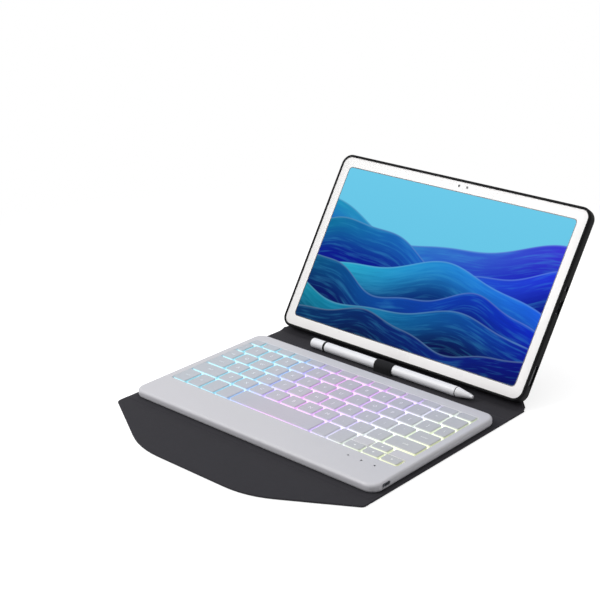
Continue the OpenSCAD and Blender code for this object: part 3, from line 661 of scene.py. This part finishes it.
def leg_outline(side):
    """A side panel, with the recess at its top that the closing flap lies in."""
    rise = FLAP_D + FOLD_CLEAR + RECESS_CLEAR
    recess_up = BACK_H - rise
    corners = [
        (-HALF_W, FOLD_GAP / math.sin(FOLD_LINE) + LEG_FOOT_CUT),
        (fold_x(recess_up) - LEG_OFF, recess_up),
        (-FLAP_EDGE_W / 2, recess_up),
        (-FLAP_EDGE_W / 2 - rise / math.tan(FLAP_TAPER), BACK_H),
        (-HALF_W, BACK_H),
    ]
    radii = [PANEL_R, LEG_INNER_R, *RECESS_R, LEG_CORNER]
    if side > 0:
        corners = [(-x, y) for x, y in reversed(corners)]
        radii.reverse()
    return corners, radii


LINER_R = 3.0
FOLD_STEPS = 12
FOLD_IN = 0.35  # from the cover's sides to the ends of the folds' bare cloth
FOLD_BEND, BACK_BEND = 1.1, 8.5  # how far a fold's bend reaches from its axis
# How far a fold's cloth laps onto its boards, and its inner face's height over theirs
FLAT_LAP, FLAT_RISE = 2.4, 0.015
BENT_LAP, BENT_RISE = 1.3, -0.12
FOLD_OUTER = EDGE - 0.06
# From a leg fold's foot to its cloth, and how much shorter than the fold its cloth is
LEG_FOLD_START, LEG_FOLD_SHORT = 3.0, 8.0


def fold_strip(
    name, pivot, ways, half, towards=(0, 0, 1), bend=FOLD_BEND, lap=BENT_LAP, rise=BENT_RISE
):
    """Bare cloth over a fold, bent as it lies at rest.

    The ways are along the fold, to the first body and to the second, and towards is the side of its inner
    face. half gives half its length at a distance from the fold, which is less than 0 on the first body.
    """
    pivot, towards = Vector(pivot), Vector(towards)
    along, to_a, to_b = (Vector(way) for way in ways)
    turn_a, turn_b = pivot + to_a * bend, pivot + to_b * bend
    middle = [pivot + to_a * (bend + s) for s in (lap, lap / 2)]
    reach = [-bend - lap, -bend - lap / 2]
    middle += bend_through(turn_a, pivot, turn_b, FOLD_STEPS)
    reach += [bend * (2 * k / FOLD_STEPS - 1) for k in range(FOLD_STEPS + 1)]
    middle += [pivot + to_b * (bend + s) for s in (lap / 2, lap)]
    reach += [bend + lap / 2, bend + lap]
    upper, lower = [], []
    for k, p in enumerate(middle):
        run = middle[min(k + 1, len(middle) - 1)] - middle[max(k - 1, 0)]
        inner = along.cross(run).normalized()
        inner *= 1 if inner.dot(towards) > 0 else -1
        upper.append(p + inner * (BOARD + rise))
        lower.append(p - inner * FOLD_OUTER)
    ring = upper + lower[::-1]
    halves = [half(run) for run in reach + reach[::-1]]
    loops = [[p + along * (s * h) for p, h in zip(ring, halves)] for s in (-1, -0.5, 0, 0.5, 1)]
    piece = add(name, loft(loops), cloth, sharp=60)
    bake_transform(piece)


def build_liner():
    """The lining under the keyboard, its edge pressed down to the cloth."""
    low, high = box_mm("base_liner")
    outline = (high.x - low.x, high.y - low.y, LINER_R, (0, (low.y + high.y) / 2))
    edge = ((0.0, low.z - 0.02), (0.15, low.z + 0.05), (1.2, high.z - 0.1), (2.6, high.z))
    add("liner_skin", loft(layers(outline, edge, 6)), lining, "base", ["base_liner"])


def build_panels():
    gap = FOLD_GAP
    panel("base_panel", rectangle(HALF_W, FRONT_FOLD_Y + gap, REAR_FOLD_Y - gap), "base", "base_cover")
    panel("strip_panel", strip_outline(), "front_strip", "front_strip")
    panel("flap_panel", flap_outline(), "front_flap", "front_flap")
    panel("spine_board", rectangle(HALF_W, REAR_FOLD_Y + gap, BACK_FOLD_Y - gap), "spine", "spine_panel")
    panel("back_center_board", center_outline(), "back_cover", "back_center_panel", TO_BACK)
    for side, word in ((-1, "left"), (1, "right")):
        panel(f"{word}_leg_board", leg_outline(side), f"{word}_leg", f"back_{word}_panel", to_leg(side))


def straight(_run):
    return HALF_W - FOLD_IN


def tapered(run):
    return front_half(FLAP_D - run) - FOLD_IN


def beside_legs(run):
    """As wide as the spine, and up the back only as wide as the folds of the legs leave."""
    return straight(run) if run <= 0 else -fold_x(run) - LEG_OFF


ACROSS, FRONTWARDS, REARWARDS = (1, 0, 0), (0, -1, 0), (0, 1, 0)


def build_flat_folds():
    folds = (
        ("front_fold_cloth", ("base", "front_strip"), FRONT_FOLD_Y, straight, REARWARDS, FRONTWARDS),
        ("flap_fold_cloth", ("front_strip", "front_flap"), FLAP_FOLD_Y, tapered, REARWARDS, FRONTWARDS),
        ("rear_fold_cloth", ("base", "spine"), REAR_FOLD_Y, straight, FRONTWARDS, REARWARDS),
    )
    for name, bodies, y, half, to_a, to_b in folds:
        ways = (ACROSS, to_a, to_b)
        fold_strip(name, (0, y, HINGE_Z), ways, half, lap=FLAT_LAP, rise=FLAT_RISE)


def build_back_fold():
    ways = (ACROSS, FRONTWARDS, TO_BACK.to_3x3() @ Vector((0, 1, 0)))
    pivot = (0, BACK_FOLD_Y, HINGE_Z)
    fold_strip("back_fold_cloth", pivot, ways, beside_legs, towards=(0, -1, 1), bend=BACK_BEND)


def build_leg_folds():
    turn = TO_BACK.to_3x3()
    half = (TIP_HEIGHT - LEG_FOLD_SHORT) / math.cos(FOLD_LINE) / 2
    for side, word in ((-1, "left"), (1, "right")):
        line = Vector((-side * math.sin(FOLD_LINE), math.cos(FOLD_LINE), 0))
        inward = Vector((-side * math.cos(FOLD_LINE), -math.sin(FOLD_LINE), 0))
        ways = [way.normalized() for way in (turn @ line, turn @ inward, to_leg(side).to_3x3() @ -inward)]
        pivot = TO_BACK @ (Vector((side * HALF_W, 0, 0)) + line * (half + LEG_FOLD_START))
        outward = turn @ Vector((side, 0, 0))
        fold_strip(f"{word}_leg_fold_cloth", pivot, ways, lambda _run: half, towards=outward)


# ---- Tray and tablet ----

CAMERA_IN = 18.0
CAMERA_HOLE_D = 20.0
CAMERA_CENTRE = (-TABLET_W / 2 + CAMERA_IN, TABLET_H / 2 - CAMERA_IN)
TABLET_Z = TRAY_BACK + FIT / 2
MID_T = TABLET_Z + TABLET_T / 2
GLASS_Z = TABLET_Z + TABLET_T
GLASS_FOOT = GLASS_Z - GLASS_T
BUTTON_T = 2.0
BUTTON_GAP = 1.2
BUTTON_OUT = 0.5  # how far a button stands out of the tablet
BUTTON_DEEP = 2.0
POCKET_DEEP = 1.9
PORT_DEEP = 6.0
CUT_H = 4.4
# Cut-outs in the right wall: place up the wall, and length
WALL_CUTS = ((0, 11), (15, 4), (-TABLET_H / 2 + 22, 16))
CUT_IN, CUT_OUT = 3.0, 1.0  # how far a cutter reaches into and out of the wall's outer face
POWER_X, POWER_L = -TABLET_W / 2 + 42, 10.0
VOLUME_L = 22.0
VOLUME_X = POWER_X + POWER_L / 2 + VOLUME_L / 2 + 8
BUTTONS = (("power", POWER_X, POWER_L), ("volume", VOLUME_X, VOLUME_L))
FRONT_CAMERA_D = 2.2
FRONT_CAMERA_X = (0, 8)
DISPLAY_LINE = 0.7  # the dark line round the lit area
DISPLAY_SUNK = 0.02


def disc(d, centre):
    """A circle as a round rectangle."""
    return (d, d, d / 2 - 0.01, centre)


def tray_profile():
    """(inset, height) from inside the back, up the wall and over the lip, and down the outside."""
    wall, lip = FIT + TRAY_WALL, FIT + TRAY_WALL + LIP_REACH
    top = TRAY_D + LIP_T
    inside = ((wall + 1.0, TRAY_BACK), (TRAY_WALL, TRAY_BACK + 0.3), (TRAY_WALL, TRAY_D))
    over = ((lip - 0.2, TRAY_D), (lip, TRAY_D + 0.15), (lip - 0.05, top - 0.15), (lip - 0.4, top), (1.0, top))
    outside = ((0.45, top - 0.15), (0.12, top - 0.5), (0.0, top - 1.1), (0.0, 1.6))
    under = ((0.25, 0.7), (0.8, 0.2), (1.6, 0.0))
    return inside + over + outside + under


def tray_cuts():
    """What is open in the tray: ports in the right wall, both buttons in the top wall, and the camera."""
    side, top = TRAY_W / 2, TRAY_H / 2
    low, high = MID_T - CUT_H / 2, MID_T + CUT_H / 2
    cuts = [
        box_skin((side - CUT_IN, y - l / 2, low), (side + CUT_OUT, y + l / 2, high)) for y, l in WALL_CUTS
    ]
    x0, x1 = POWER_X - POWER_L / 2 - BUTTON_GAP, VOLUME_X + VOLUME_L / 2 + BUTTON_GAP
    cuts.append(box_skin((x0, top - CUT_IN, TRAY_BACK + 0.02), (x1, top + CUT_OUT, TRAY_D - 0.2)))
    cuts.append(loft(layers(disc(CAMERA_HOLE_D, CAMERA_CENTRE), ((0, -1), (0, TRAY_BACK + 0.5)))))
    return joined(*cuts)


def build_tray():
    points, faces = loft(layers((TRAY_W, TRAY_H, TRAY_R, (0, 0)), tray_profile()))
    skin = (points, [tuple(reversed(f)) for f in faces])
    nodes = ["tablet_tray", "tray_lip"]
    tray = add("tray_shell", skin, tray_rubber, "back_cover", nodes, TO_TRAY)
    cut(tray, tray_cuts(), TO_TRAY)


TABLET_OUTLINE = (TABLET_W, TABLET_H, TABLET_R, (0, 0))
DISPLAY_OUTLINE = (DISPLAY_W, DISPLAY_H, DISPLAY_R, (0, 0))


def build_housing():
    back = ((2.2, TABLET_Z), (0.9, TABLET_Z + 0.2), (0.2, TABLET_Z + 0.9), (0, TABLET_Z + 2))
    rim = ((0, GLASS_FOOT - 0.6), (0.15, GLASS_FOOT - 0.1), (0.4, GLASS_FOOT))
    skin = loft(layers(TABLET_OUTLINE, back + rim))
    housing = add("housing_shell", skin, blasted, "tablet", ["tablet_housing"], TO_TRAY)
    pockets = []
    half_t = BUTTON_T / 2 + FIT
    for _, x, l in BUTTONS:
        reach = l / 2 + FIT
        low = (x - reach, TABLET_H / 2 - POCKET_DEEP, MID_T - half_t)
        pockets.append(box_skin(low, (x + reach, TABLET_H / 2 + CUT_OUT, MID_T + half_t)))
    low = (TABLET_W / 2 - PORT_DEEP, -USB_W / 2, MID_T - USB_H / 2)
    pockets.append(box_skin(low, (TABLET_W / 2 + CUT_OUT, USB_W / 2, MID_T + USB_H / 2)))
    cut(housing, joined(*pockets), TO_TRAY)


def build_glass():
    """The white frame, the display in it and a dark line between them."""
    rim = ((0.25, GLASS_FOOT), (0.1, GLASS_Z - 0.35), (0.3, GLASS_Z - 0.1), (0.9, GLASS_Z))
    glass = layers(DISPLAY_OUTLINE, ((0, GLASS_FOOT),)) + layers(TABLET_OUTLINE, rim)
    glass += layers(DISPLAY_OUTLINE, ((0, GLASS_Z), (0, GLASS_FOOT)))
    frame_skin = loft(glass, caps=False)
    add("front_bezel", frame_skin, bezel, "tablet", ["tablet_front_frame"], TO_TRAY)

    top = GLASS_Z - DISPLAY_SUNK
    foot = top - 0.3
    ring = loft(layers(DISPLAY_OUTLINE, ((0, foot), (0, top), (DISPLAY_LINE, top))), caps=False)
    add("display_edge", ring, screen_edge, "tablet", to=TO_TRAY)
    lit = loft(layers(DISPLAY_OUTLINE, ((DISPLAY_LINE, foot), (DISPLAY_LINE, top))))
    add("display_picture", lit, display_picture, "tablet", ["tablet_display"], TO_TRAY)


def build_front_cameras():
    up = (TABLET_H + DISPLAY_H) / 4
    profile = ((0, GLASS_Z - 0.3), (0, GLASS_Z + 0.02), (0.25, GLASS_Z + 0.05))
    spots = [loft(layers(disc(FRONT_CAMERA_D, (x, up)), profile, 6)) for x in FRONT_CAMERA_X]
    add("front_lenses", joined(*spots), lens, "tablet", ["tablet_front_camera"], TO_TRAY)


def build_side_buttons():
    for word, x, l in BUTTONS:
        face = (l, BUTTON_T, BUTTON_T / 2 - 0.05, (0, 0))
        cap = loft(layers(face, ((0.35, 0), (0.1, 0.12), (0, 0.4), (0, BUTTON_DEEP)), 5))
        # Drawn lying down, then stood on the tablet's top edge
        place = Matrix.Translation((x, TABLET_H / 2 + BUTTON_OUT, MID_T))
        stand = TO_TRAY @ place @ Matrix.Rotation(math.pi / 2, 4, "X")
        node = f"tablet_{word}_button"
        add(f"{word}_button_cap", cap, blasted, f"{word}_button", [node], stand)


# ---- Stylus and its loop ----

ROUND_STEPS = 40
GROOVE = 0.25  # depth of the grooves between the stylus's parts
END_R = 1.6
CONE_GAP = 0.5
RING_OVER = 0.35  # the ring's skin laps this far over its neighbours on both sides
CONE_END_R, NIB_R, NIB_TIP_R, NIB_L = 1.9, 1.7, 1.4, 2.4


def turned(profile, centre):
    """A turned shape along X: (place along, radius) pairs about a centre line."""
    turns = [2 * math.pi * i / ROUND_STEPS for i in range(ROUND_STEPS)]
    return loft(
        [[(x, centre[0] + r * math.cos(a), centre[1] + r * math.sin(a)) for a in turns] for x, r in profile]
    )


def stylus_band(x0, x1, r, top):
    return ((x0, r - 0.3), (x0 + 0.1, top), (x1 - 0.1, top), (x1, r - 0.3))


def build_stylus():
    low, high = box_mm("stylus_barrel")
    centre = ((low.y + high.y) / 2, (low.z + high.z) / 2)
    r = (high.z - low.z) / 2
    barrel = (
        (low.x, r - GROOVE),
        (low.x + 0.25, r),
        (high.x - 0.4, r),
        (high.x - 0.1, r - GROOVE),
        (high.x, r - GROOVE),
    )
    add("barrel_skin", turned(barrel, centre), stylus_white, "stylus", ["stylus_barrel"])

    cap_low, cap_high = box_mm("stylus_end_cap")
    quarter = [k * math.pi / 12 for k in range(7)]
    cap = [(cap_low.x + END_R * (1 - math.cos(a)), r - END_R + END_R * math.sin(a)) for a in quarter]
    cap += [(cap_high.x - 0.3, r), (cap_high.x, r - GROOVE)]
    add("end_cap_skin", turned(cap, centre), stylus_white, "stylus", ["stylus_end_cap"])

    ring_low, ring_high = box_mm("stylus_ring")
    cone_low, cone_high = box_mm("stylus_cone")
    start, nib = cone_low.x + CONE_GAP, cone_high.x - NIB_L
    ring = stylus_band(ring_low.x - RING_OVER, ring_high.x + RING_OVER, r, r + 0.06)
    gap = stylus_band(cone_low.x, start, r, r - 0.04)
    bands = joined(turned(ring, centre), turned(gap, centre))
    add("ring_skin", bands, stylus_black, "stylus", ["stylus_ring"])
    cone = (
        (start, r - GROOVE),
        (start + 0.25, r - 0.03),
        (start + 1.0, r - 0.2),
        (nib - 0.2, CONE_END_R + 0.04),
        (nib, CONE_END_R - 0.1),
        (nib + 0.05, NIB_R),
        (cone_high.x - 0.5, NIB_TIP_R),
        (cone_high.x - 0.12, NIB_TIP_R - 0.18),
        (cone_high.x, NIB_TIP_R - 0.5),
    )
    add("cone_skin", turned(cone, centre), stylus_white, "stylus", ["stylus_cone"])


LOOP_T = 0.5
LOOP_STEPS = 16
# The band's section: shares of its half width and half thickness, with soft corners
LOOP_SECTION = (
    (-1, -0.6), (-1, 0.6), (-0.96, 1), (0.96, 1), (1, 0.6), (1, -0.6), (0.96, -1), (-0.96, -1)
)
STITCHES = 9
STITCH_L, STITCH_W, STITCH_R = 1.3, 0.35, 0.15
STITCH_IN, STITCH_BACK = 1.5, 0.9  # from the band's sides, and from its sewn end
STITCH_RISE = 0.08


def loop_path(back_y):
    """(Y, Z) along the middle of the band: over the stylus and down to its sewn end."""
    low, high = box_mm("stylus_barrel")
    y0, z0 = (low.y + high.y) / 2, (low.z + high.z) / 2
    mid = (high.z - low.z) / 2 + FIT + LOOP_T / 2
    foot = PANEL_T + LOOP_T / 2
    arch = [k * math.pi / LOOP_STEPS for k in range(LOOP_STEPS + 1)]
    path = [(y0 - mid, PANEL_T)]
    path += [(y0 - mid * math.cos(a), z0 + mid * math.sin(a)) for a in arch]
    path += [(y0 + mid, foot + 0.6), (y0 + mid + 0.2, foot + 0.15), (y0 + mid + 0.7, foot), (back_y, foot)]
    return path


def build_loop():
    """One elastic band: up in front of the stylus, over it, and down to a stitched end behind."""
    low, high = box_mm("stylus_loop")
    half_w = (high.x - low.x) / 2
    path = loop_path(high.y)
    loops = []
    for k, (y, z) in enumerate(path):
        before, after = path[max(k - 1, 0)], path[min(k + 1, len(path) - 1)]
        run = Vector((after[0] - before[0], after[1] - before[1])).normalized()
        out = Vector((-run.y, run.x)) * LOOP_T / 2
        loops.append([(x * half_w, y + out.x * s, z + out.y * s) for x, s in LOOP_SECTION])
    add("loop_band", loft(loops), elastic, "spine", ["stylus_loop"], sharp=50)
    stitches = []
    foot = PANEL_T + LOOP_T / 2
    profile = ((0, foot), (0.06, foot + LOOP_T / 2 + STITCH_RISE))
    for k in range(STITCHES):
        x = -half_w + STITCH_IN + k * 2 * (half_w - STITCH_IN) / (STITCHES - 1)
        stitches.append(loft(layers((STITCH_L, STITCH_W, STITCH_R, (x, high.y - STITCH_BACK)), profile, 3)))
    add("loop_stitches", joined(*stitches), stylus_black, "spine")


# ---- Keyboard ----

WELL_CLEAR = 1.0  # from the outer keys to the well's front and rear edges
WELL_R = 1.8
EDGE_STEPS = 8
PLATE_R = 0.8
GUIDE_IN = 0.1  # from the well's edge to the light guide's


def key_well():
    """The deck's opening round the keys: its width and depth, and the Y of its middle."""
    low, high = box_mm("keyboard_top_case")
    rear, front = box_mm("function_keys")[1].y + WELL_CLEAR, box_mm("space_bar")[0].y - WELL_CLEAR
    return high.x - low.x - 2 * KEY_WELL_MARGIN, rear - front, (rear + front) / 2


def deck_skin():
    """The deck's rounded outside, and the well's edge down to the light guide."""
    low, high = box_mm("keyboard_top_case")
    outline = (high.x - low.x, high.y - low.y, KB_R, (0, (low.y + high.y) / 2))
    top = high.z
    outer = [(1.2, low.z + 0.2), (0.3, low.z), (0.05, low.z + 0.15), (0, low.z + 0.5)]
    for k in range(EDGE_STEPS + 1):
        a = k / EDGE_STEPS * math.pi / 2
        outer.append((KB_EDGE_R * (1 - math.cos(a)), top - KB_EDGE_R + KB_EDGE_R * math.sin(a)))
    outer.append((KB_EDGE_R + 0.8, top))
    w, d, middle = key_well()
    inner = ((-0.9, top), (-0.3, top - 0.05), (0.0, top - 0.3), (0.0, box_mm("light_guide")[1].z))
    return loft(layers(outline, outer, 12) + layers((w, d, WELL_R, (0, middle)), inner, 12), caps=False)


def arrow_deck(top):
    """Deck plates beside the up arrow key, and the low rib that carries the left one."""
    up_low, up_high = box_mm("up_arrow_key")
    left_low, left_high = box_mm("left_arrow_key")
    split = (up_low.y + left_high.y) / 2
    plates = []
    for x0, x1 in ((left_low.x, left_high.x), (box_mm("right_arrow_key")[0].x, key_well()[0] / 2 + 0.5)):
        plate = (x1 - x0, up_high.y - split, PLATE_R, ((x0 + x1) / 2, (up_high.y + split) / 2))
        plates.append(loft(layers(plate, ((0, top - 1.2), (0, top - 0.2), (0.2, top)), 4)))
    rib = box_skin((left_high.x - 1, split - 0.4, top - 1.2), (up_high.x + 3, split + 0.4, top - 0.6))
    return joined(*plates, rib)


def build_deck():
    low, high = box_mm("keyboard_top_case")
    skin = joined(deck_skin(), arrow_deck(high.z))
    deck = add("deck_shell", skin, shell_plastic, "keyboard", ["keyboard_top_case"])
    side = (high.x - low.x) / 2
    low, high = box_mm("keyboard_usb_socket")
    mouth = (USB_W, USB_H, USB_H / 2 - 0.01, ((low.y + high.y) / 2, (low.z + high.z) / 2))
    through = layers(mouth, ((0, side - 4), (0, side + 1)))
    cut(deck, loft([[(h, x, y) for x, y, h in loop] for loop in through]))


def build_under_shell():
    low, high = box_mm("keyboard_bottom_case")
    outline = (high.x - low.x, high.y - low.y, KB_R - 0.4, (0, (low.y + high.y) / 2))
    profile = ((1.0, low.z), (0.4, low.z + 0.1), (0.1, low.z + 0.4), (0.0, low.z + 0.8), (0.0, high.z - 0.02))
    skin = loft(layers(outline, profile, 12))
    # Its plastic is the deck's, darker as painted shade
    add("under_shell", skin, shell_plastic_painted_shade, "keyboard", ["keyboard_bottom_case"])


def build_guide():
    low, high = box_mm("light_guide")
    w, d, middle = key_well()
    outline = (w - 2 * GUIDE_IN, d - 2 * GUIDE_IN, WELL_R - GUIDE_IN, (0, middle))
    glow = loft(layers(outline, ((0, low.z), (0, high.z - 0.1), (0.2, high.z))))
    add("guide_sheet", glow, guide_light, "keyboard", ["light_guide"])


NEAR = 1e-5  # metres


def key_boxes(node):
    """Boxes of a node's separate solids, from left to right."""
    mesh = frame["nodes"][node].data
    # Vertices that share a place count as one
    places = [tuple(round(c / NEAR) for c in v.co) for v in mesh.vertices]
    near = {place: k for k, place in enumerate(dict.fromkeys(places))}
    spot = [near[place] for place in places]
    leader = list(range(len(near)))

    def find(i):
        while leader[i] != i:
            leader[i] = leader[leader[i]]
            i = leader[i]
        return i

    for e in mesh.edges:
        a, b = (find(spot[v]) for v in e.vertices)
        leader[a] = b
    groups = {}
    for v in mesh.vertices:
        groups.setdefault(find(spot[v.index]), []).append(v.co / MM)
    boxes = []
    for points in groups.values():
        low = Vector(min(p[i] for p in points) for i in range(3))
        high = Vector(max(p[i] for p in points) for i in range(3))
        boxes.append((low, high))
    return sorted(boxes, key=lambda b: b[0].x)


KEY_DISH = 0.09


def key_cap(low, high):
    """A cap with a slight draft, a soft top edge and a shallow dish."""
    w, d = high.x - low.x, high.y - low.y
    outline = (w, d, KEY_R, ((low.x + high.x) / 2, (low.y + high.y) / 2))
    top = high.z
    profile = (
        (0.0, low.z),
        (0.0, low.z + 0.9),
        (0.06, top - 0.55),
        (0.13, top - 0.28),
        (0.3, top - 0.09),
        (0.6, top - 0.01),
        (1.0, top - 0.02),
        (2.2, top - KEY_DISH),
    )
    return loft(layers(outline, profile, 4))


ROW_LEGENDS = {
    "number_keys": "`1234567890-=",
    "upper_letter_keys": "QWERTYUIOP[]\\",
    "home_letter_keys": "ASDFGHJKL;'",
    "lower_letter_keys": "ZXCVBNM,./",
}
WORD_LEGENDS = {
    "tab_key": "tab",
    "caps_lock_key": "caps",
    "left_shift_key": "shift",
    "right_shift_key": "shift",
    "enter_key": "enter",
    "left_control_key": "ctrl",
    "function_shift_key": "fn",
}
# Arrow keys: the way each arrow points, in degrees from the right
ARROWS = {"left_arrow_key": 180, "right_arrow_key": 0, "up_arrow_key": 90, "down_arrow_key": 270}
LEGEND_RISE = 0.03
LETTER_SIZE, WORD_SIZE, ARROW_SIZE = 4.4, 3.0, 1.1


def legend_skin(text, size, centre, top):
    """A legend's letters as a thin skin on a key."""
    curve = bpy.data.curves.new("legend", "FONT")
    curve.body, curve.size = text, size * MM
    curve.align_x, curve.align_y = "CENTER", "CENTER"
    curve.resolution_u = 3
    holder = bpy.data.objects.new("legend", curve)
    scene.collection.objects.link(holder)
    mesh = bpy.data.meshes.new_from_object(holder.evaluated_get(bpy.context.evaluated_depsgraph_get()))
    points = [(v.co.x / MM + centre[0], v.co.y / MM + centre[1], top) for v in mesh.vertices]
    faces = [tuple(p.vertices) for p in mesh.polygons]
    bpy.data.objects.remove(holder)
    return points, faces


def arrow_skin(angle, centre, top):
    """A triangle that points the way of an arrow key."""
    place = Matrix.Translation((*centre, top)) @ Matrix.Rotation(math.radians(angle), 4, "Z")
    corners = (Vector(p) * ARROW_SIZE for p in ((1, 0, 0), (-0.6, 0.9, 0), (-0.6, -0.9, 0)))
    return [place @ corner for corner in corners], [(0, 1, 2)]


def legend(node, k, centre, top):
    """The legend of a node's key, counted from the left, or None on a blank one."""
    if node in ROW_LEGENDS:
        return legend_skin(ROW_LEGENDS[node][k], LETTER_SIZE, centre, top)
    if node in WORD_LEGENDS:
        return legend_skin(WORD_LEGENDS[node], WORD_SIZE, centre, top)
    return arrow_skin(ARROWS[node], centre, top) if node in ARROWS else None


def build_keys():
    deck = box_mm("keyboard_top_case")[1].z
    plastic = lit_plastic("key_plastic", rgb(191, 191, 199), deck - 0.6, deck + 0.5, 0.72)
    print_white = printed("legend_print")
    for node in sorted(n for n in frame["nodes"] if n.endswith(("_key", "_keys", "space_bar"))):
        body = frame["nodes"][node]["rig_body"]
        boxes = key_boxes(node)
        caps = joined(*[key_cap(low, high) for low, high in boxes])
        add(f"{node}_caps", caps, plastic, body, [node])
        prints = []
        for k, (low, high) in enumerate(boxes):
            centre = ((low.x + high.x) / 2, (low.y + high.y) / 2)
            prints.append(legend(node, k, centre, high.z - KEY_DISH + LEGEND_RISE))
        if prints[0]:
            add(f"{node}_legends", joined(*prints), print_white, body)


# ---- CAD nodes that stay as they are ----

KEPT = {
    nickel: ["base_magnets", "flap_magnets", "left_leg_magnet", "right_leg_magnet", "keyboard_magnets"],
    lens: ["tablet_rear_camera"],
    steel: ["support_plate", "case_screws", "keyboard_usb_socket"],
    silicone: ["rubber_domes", "scissor_clips"],
    lamp_grey: ["indicator_lights"],
    circuit: ["control_board"],
    membrane_light: ["key_membrane"],
    cell_wrap: ["battery"],
}


def dress_kept_nodes():
    for material, names in KEPT.items():
        for name in names:
            data = frame["nodes"][name].data
            data.materials.clear()
            data.materials.append(material)


# ---- Stage, lights and camera ----

CAMERA_FROM = Vector((617.35, -675.95, 450.0))
CAMERA_AT = Vector((0, 11.4, 0))
CAMERA_ROLL = math.radians(-0.68)
FOCAL_PX = 1342.4
CENTRE_PX = (322.9, 405.5)
PICTURE_PX = 600
SENSOR = 36.0


def build_camera():
    data = bpy.data.cameras.new("camera")
    data.sensor_width = SENSOR
    data.lens = FOCAL_PX / PICTURE_PX * SENSOR
    data.shift_x = (PICTURE_PX / 2 - CENTRE_PX[0]) / PICTURE_PX
    data.shift_y = (CENTRE_PX[1] - PICTURE_PX / 2) / PICTURE_PX
    data.clip_end = 100
    camera = bpy.data.objects.new("camera", data)
    scene.collection.objects.link(camera)
    back = (CAMERA_FROM - CAMERA_AT).normalized()
    right = Vector((0, 0, 1)).cross(back).normalized()
    up = back.cross(right)
    across = right * math.cos(CAMERA_ROLL) + up * math.sin(CAMERA_ROLL)
    upright = back.cross(across)
    turn = Matrix((across, upright, back)).transposed()
    camera.matrix_world = Matrix.Translation(CAMERA_FROM * MM) @ turn.to_4x4()
    scene.camera = camera


# Name, place in metres, width in metres and power in watts
LIGHTS = (("key_light", (-0.9, -1.1, 1.5), 1.1, 23), ("top_light", (-0.2, 0.3, 1.9), 1.4, 10))
LIGHTS_AT = (0, 0, 0.03)


def area_light(name, place, size, power):
    data = bpy.data.lights.new(name, "AREA")
    data.shape, data.size, data.energy = "DISK", size, power
    light = bpy.data.objects.new(name, data)
    scene.collection.objects.link(light)
    light.location = place
    light.rotation_euler = (Vector(LIGHTS_AT) - Vector(place)).to_track_quat("-Z", "Y").to_euler()


def seen_rays(tree):
    """1 for the rays that show the background: to the camera, by reflection or through glass."""
    path = tree.nodes.new("ShaderNodeLightPath")
    value = path.outputs["Is Camera Ray"]
    for other in ("Is Glossy Ray", "Is Transmission Ray"):
        either = tree.nodes.new("ShaderNodeMath")
        either.operation = "MAXIMUM"
        tree.links.new(value, either.inputs[0])
        tree.links.new(path.outputs[other], either.inputs[1])
        value = either.outputs[0]
    return value


WHITE = (1, 1, 1, 1)
FLOOR_GREY = (0.5, 0.5, 0.505, 1)
FLOOR_HALF, FLOOR_Z = 6.0, -0.0001
FLOOR_FADE = (0.25, 0.6)  # from the middle: where the floor's shading starts and ends its fade to white
FLOOR_LIFT = 0.8
AMBIENT = 0.34


def build_floor():
    n = Nodes("pale_floor")
    n.set(Base_Color=FLOOR_GREY, Roughness=0.9, Specular_IOR_Level=0.1)
    reach = n.node("ShaderNodeVectorMath", {0: n.place()}, operation="LENGTH").outputs["Value"]
    seen = seen_rays(n.tree)
    fade = n.math("MULTIPLY", n.ramp(reach, *FLOOR_FADE, 0, 1, True), seen)
    white = n.node("ShaderNodeEmission", {"Color": WHITE, "Strength": 1.0})
    n.set(Emission_Color=WHITE, Emission_Strength=n.math("MULTIPLY", seen, FLOOR_LIFT))
    blend = n.node("ShaderNodeMixShader", {0: fade})
    n.tree.links.new(n.shader.outputs[0], blend.inputs[1])
    n.tree.links.new(white.outputs[0], blend.inputs[2])
    n.tree.links.new(blend.outputs[0], n.tree.nodes["Material Output"].inputs[0])

    mesh = bpy.data.meshes.new("floor")
    corners = [(x * FLOOR_HALF, y * FLOOR_HALF, FLOOR_Z) for x, y in ((-1, -1), (1, -1), (1, 1), (-1, 1))]
    mesh.from_pydata(corners, [], [(0, 1, 2, 3)])
    mesh.materials.append(n.material)
    floor = bpy.data.objects.new("floor", mesh)
    scene.collection.objects.link(floor)


def build_light():
    world = bpy.data.worlds.new("studio")
    scene.world = world
    world.use_nodes = True
    tree = world.node_tree
    light, seen = tree.nodes["Background"], tree.nodes.new("ShaderNodeBackground")
    for background, strength in ((light, AMBIENT), (seen, 1.0)):
        background.inputs[0].default_value = WHITE
        background.inputs[1].default_value = strength
    blend = tree.nodes.new("ShaderNodeMixShader")
    tree.links.new(seen_rays(tree), blend.inputs[0])
    tree.links.new(light.outputs[0], blend.inputs[1])
    tree.links.new(seen.outputs[0], blend.inputs[2])
    tree.links.new(blend.outputs[0], tree.nodes["World Output"].inputs[0])

    for lamp in LIGHTS:
        area_light(*lamp)


scene.view_settings.view_transform = "Standard"
build_camera()
build_floor()
build_light()
build_panels()
build_flat_folds()
build_liner()
build_back_fold()
build_leg_folds()
build_tray()
build_housing()
build_glass()
build_front_cameras()
build_side_buttons()
build_stylus()
build_loop()
build_deck()
build_under_shell()
build_guide()
build_keys()
dress_kept_nodes()
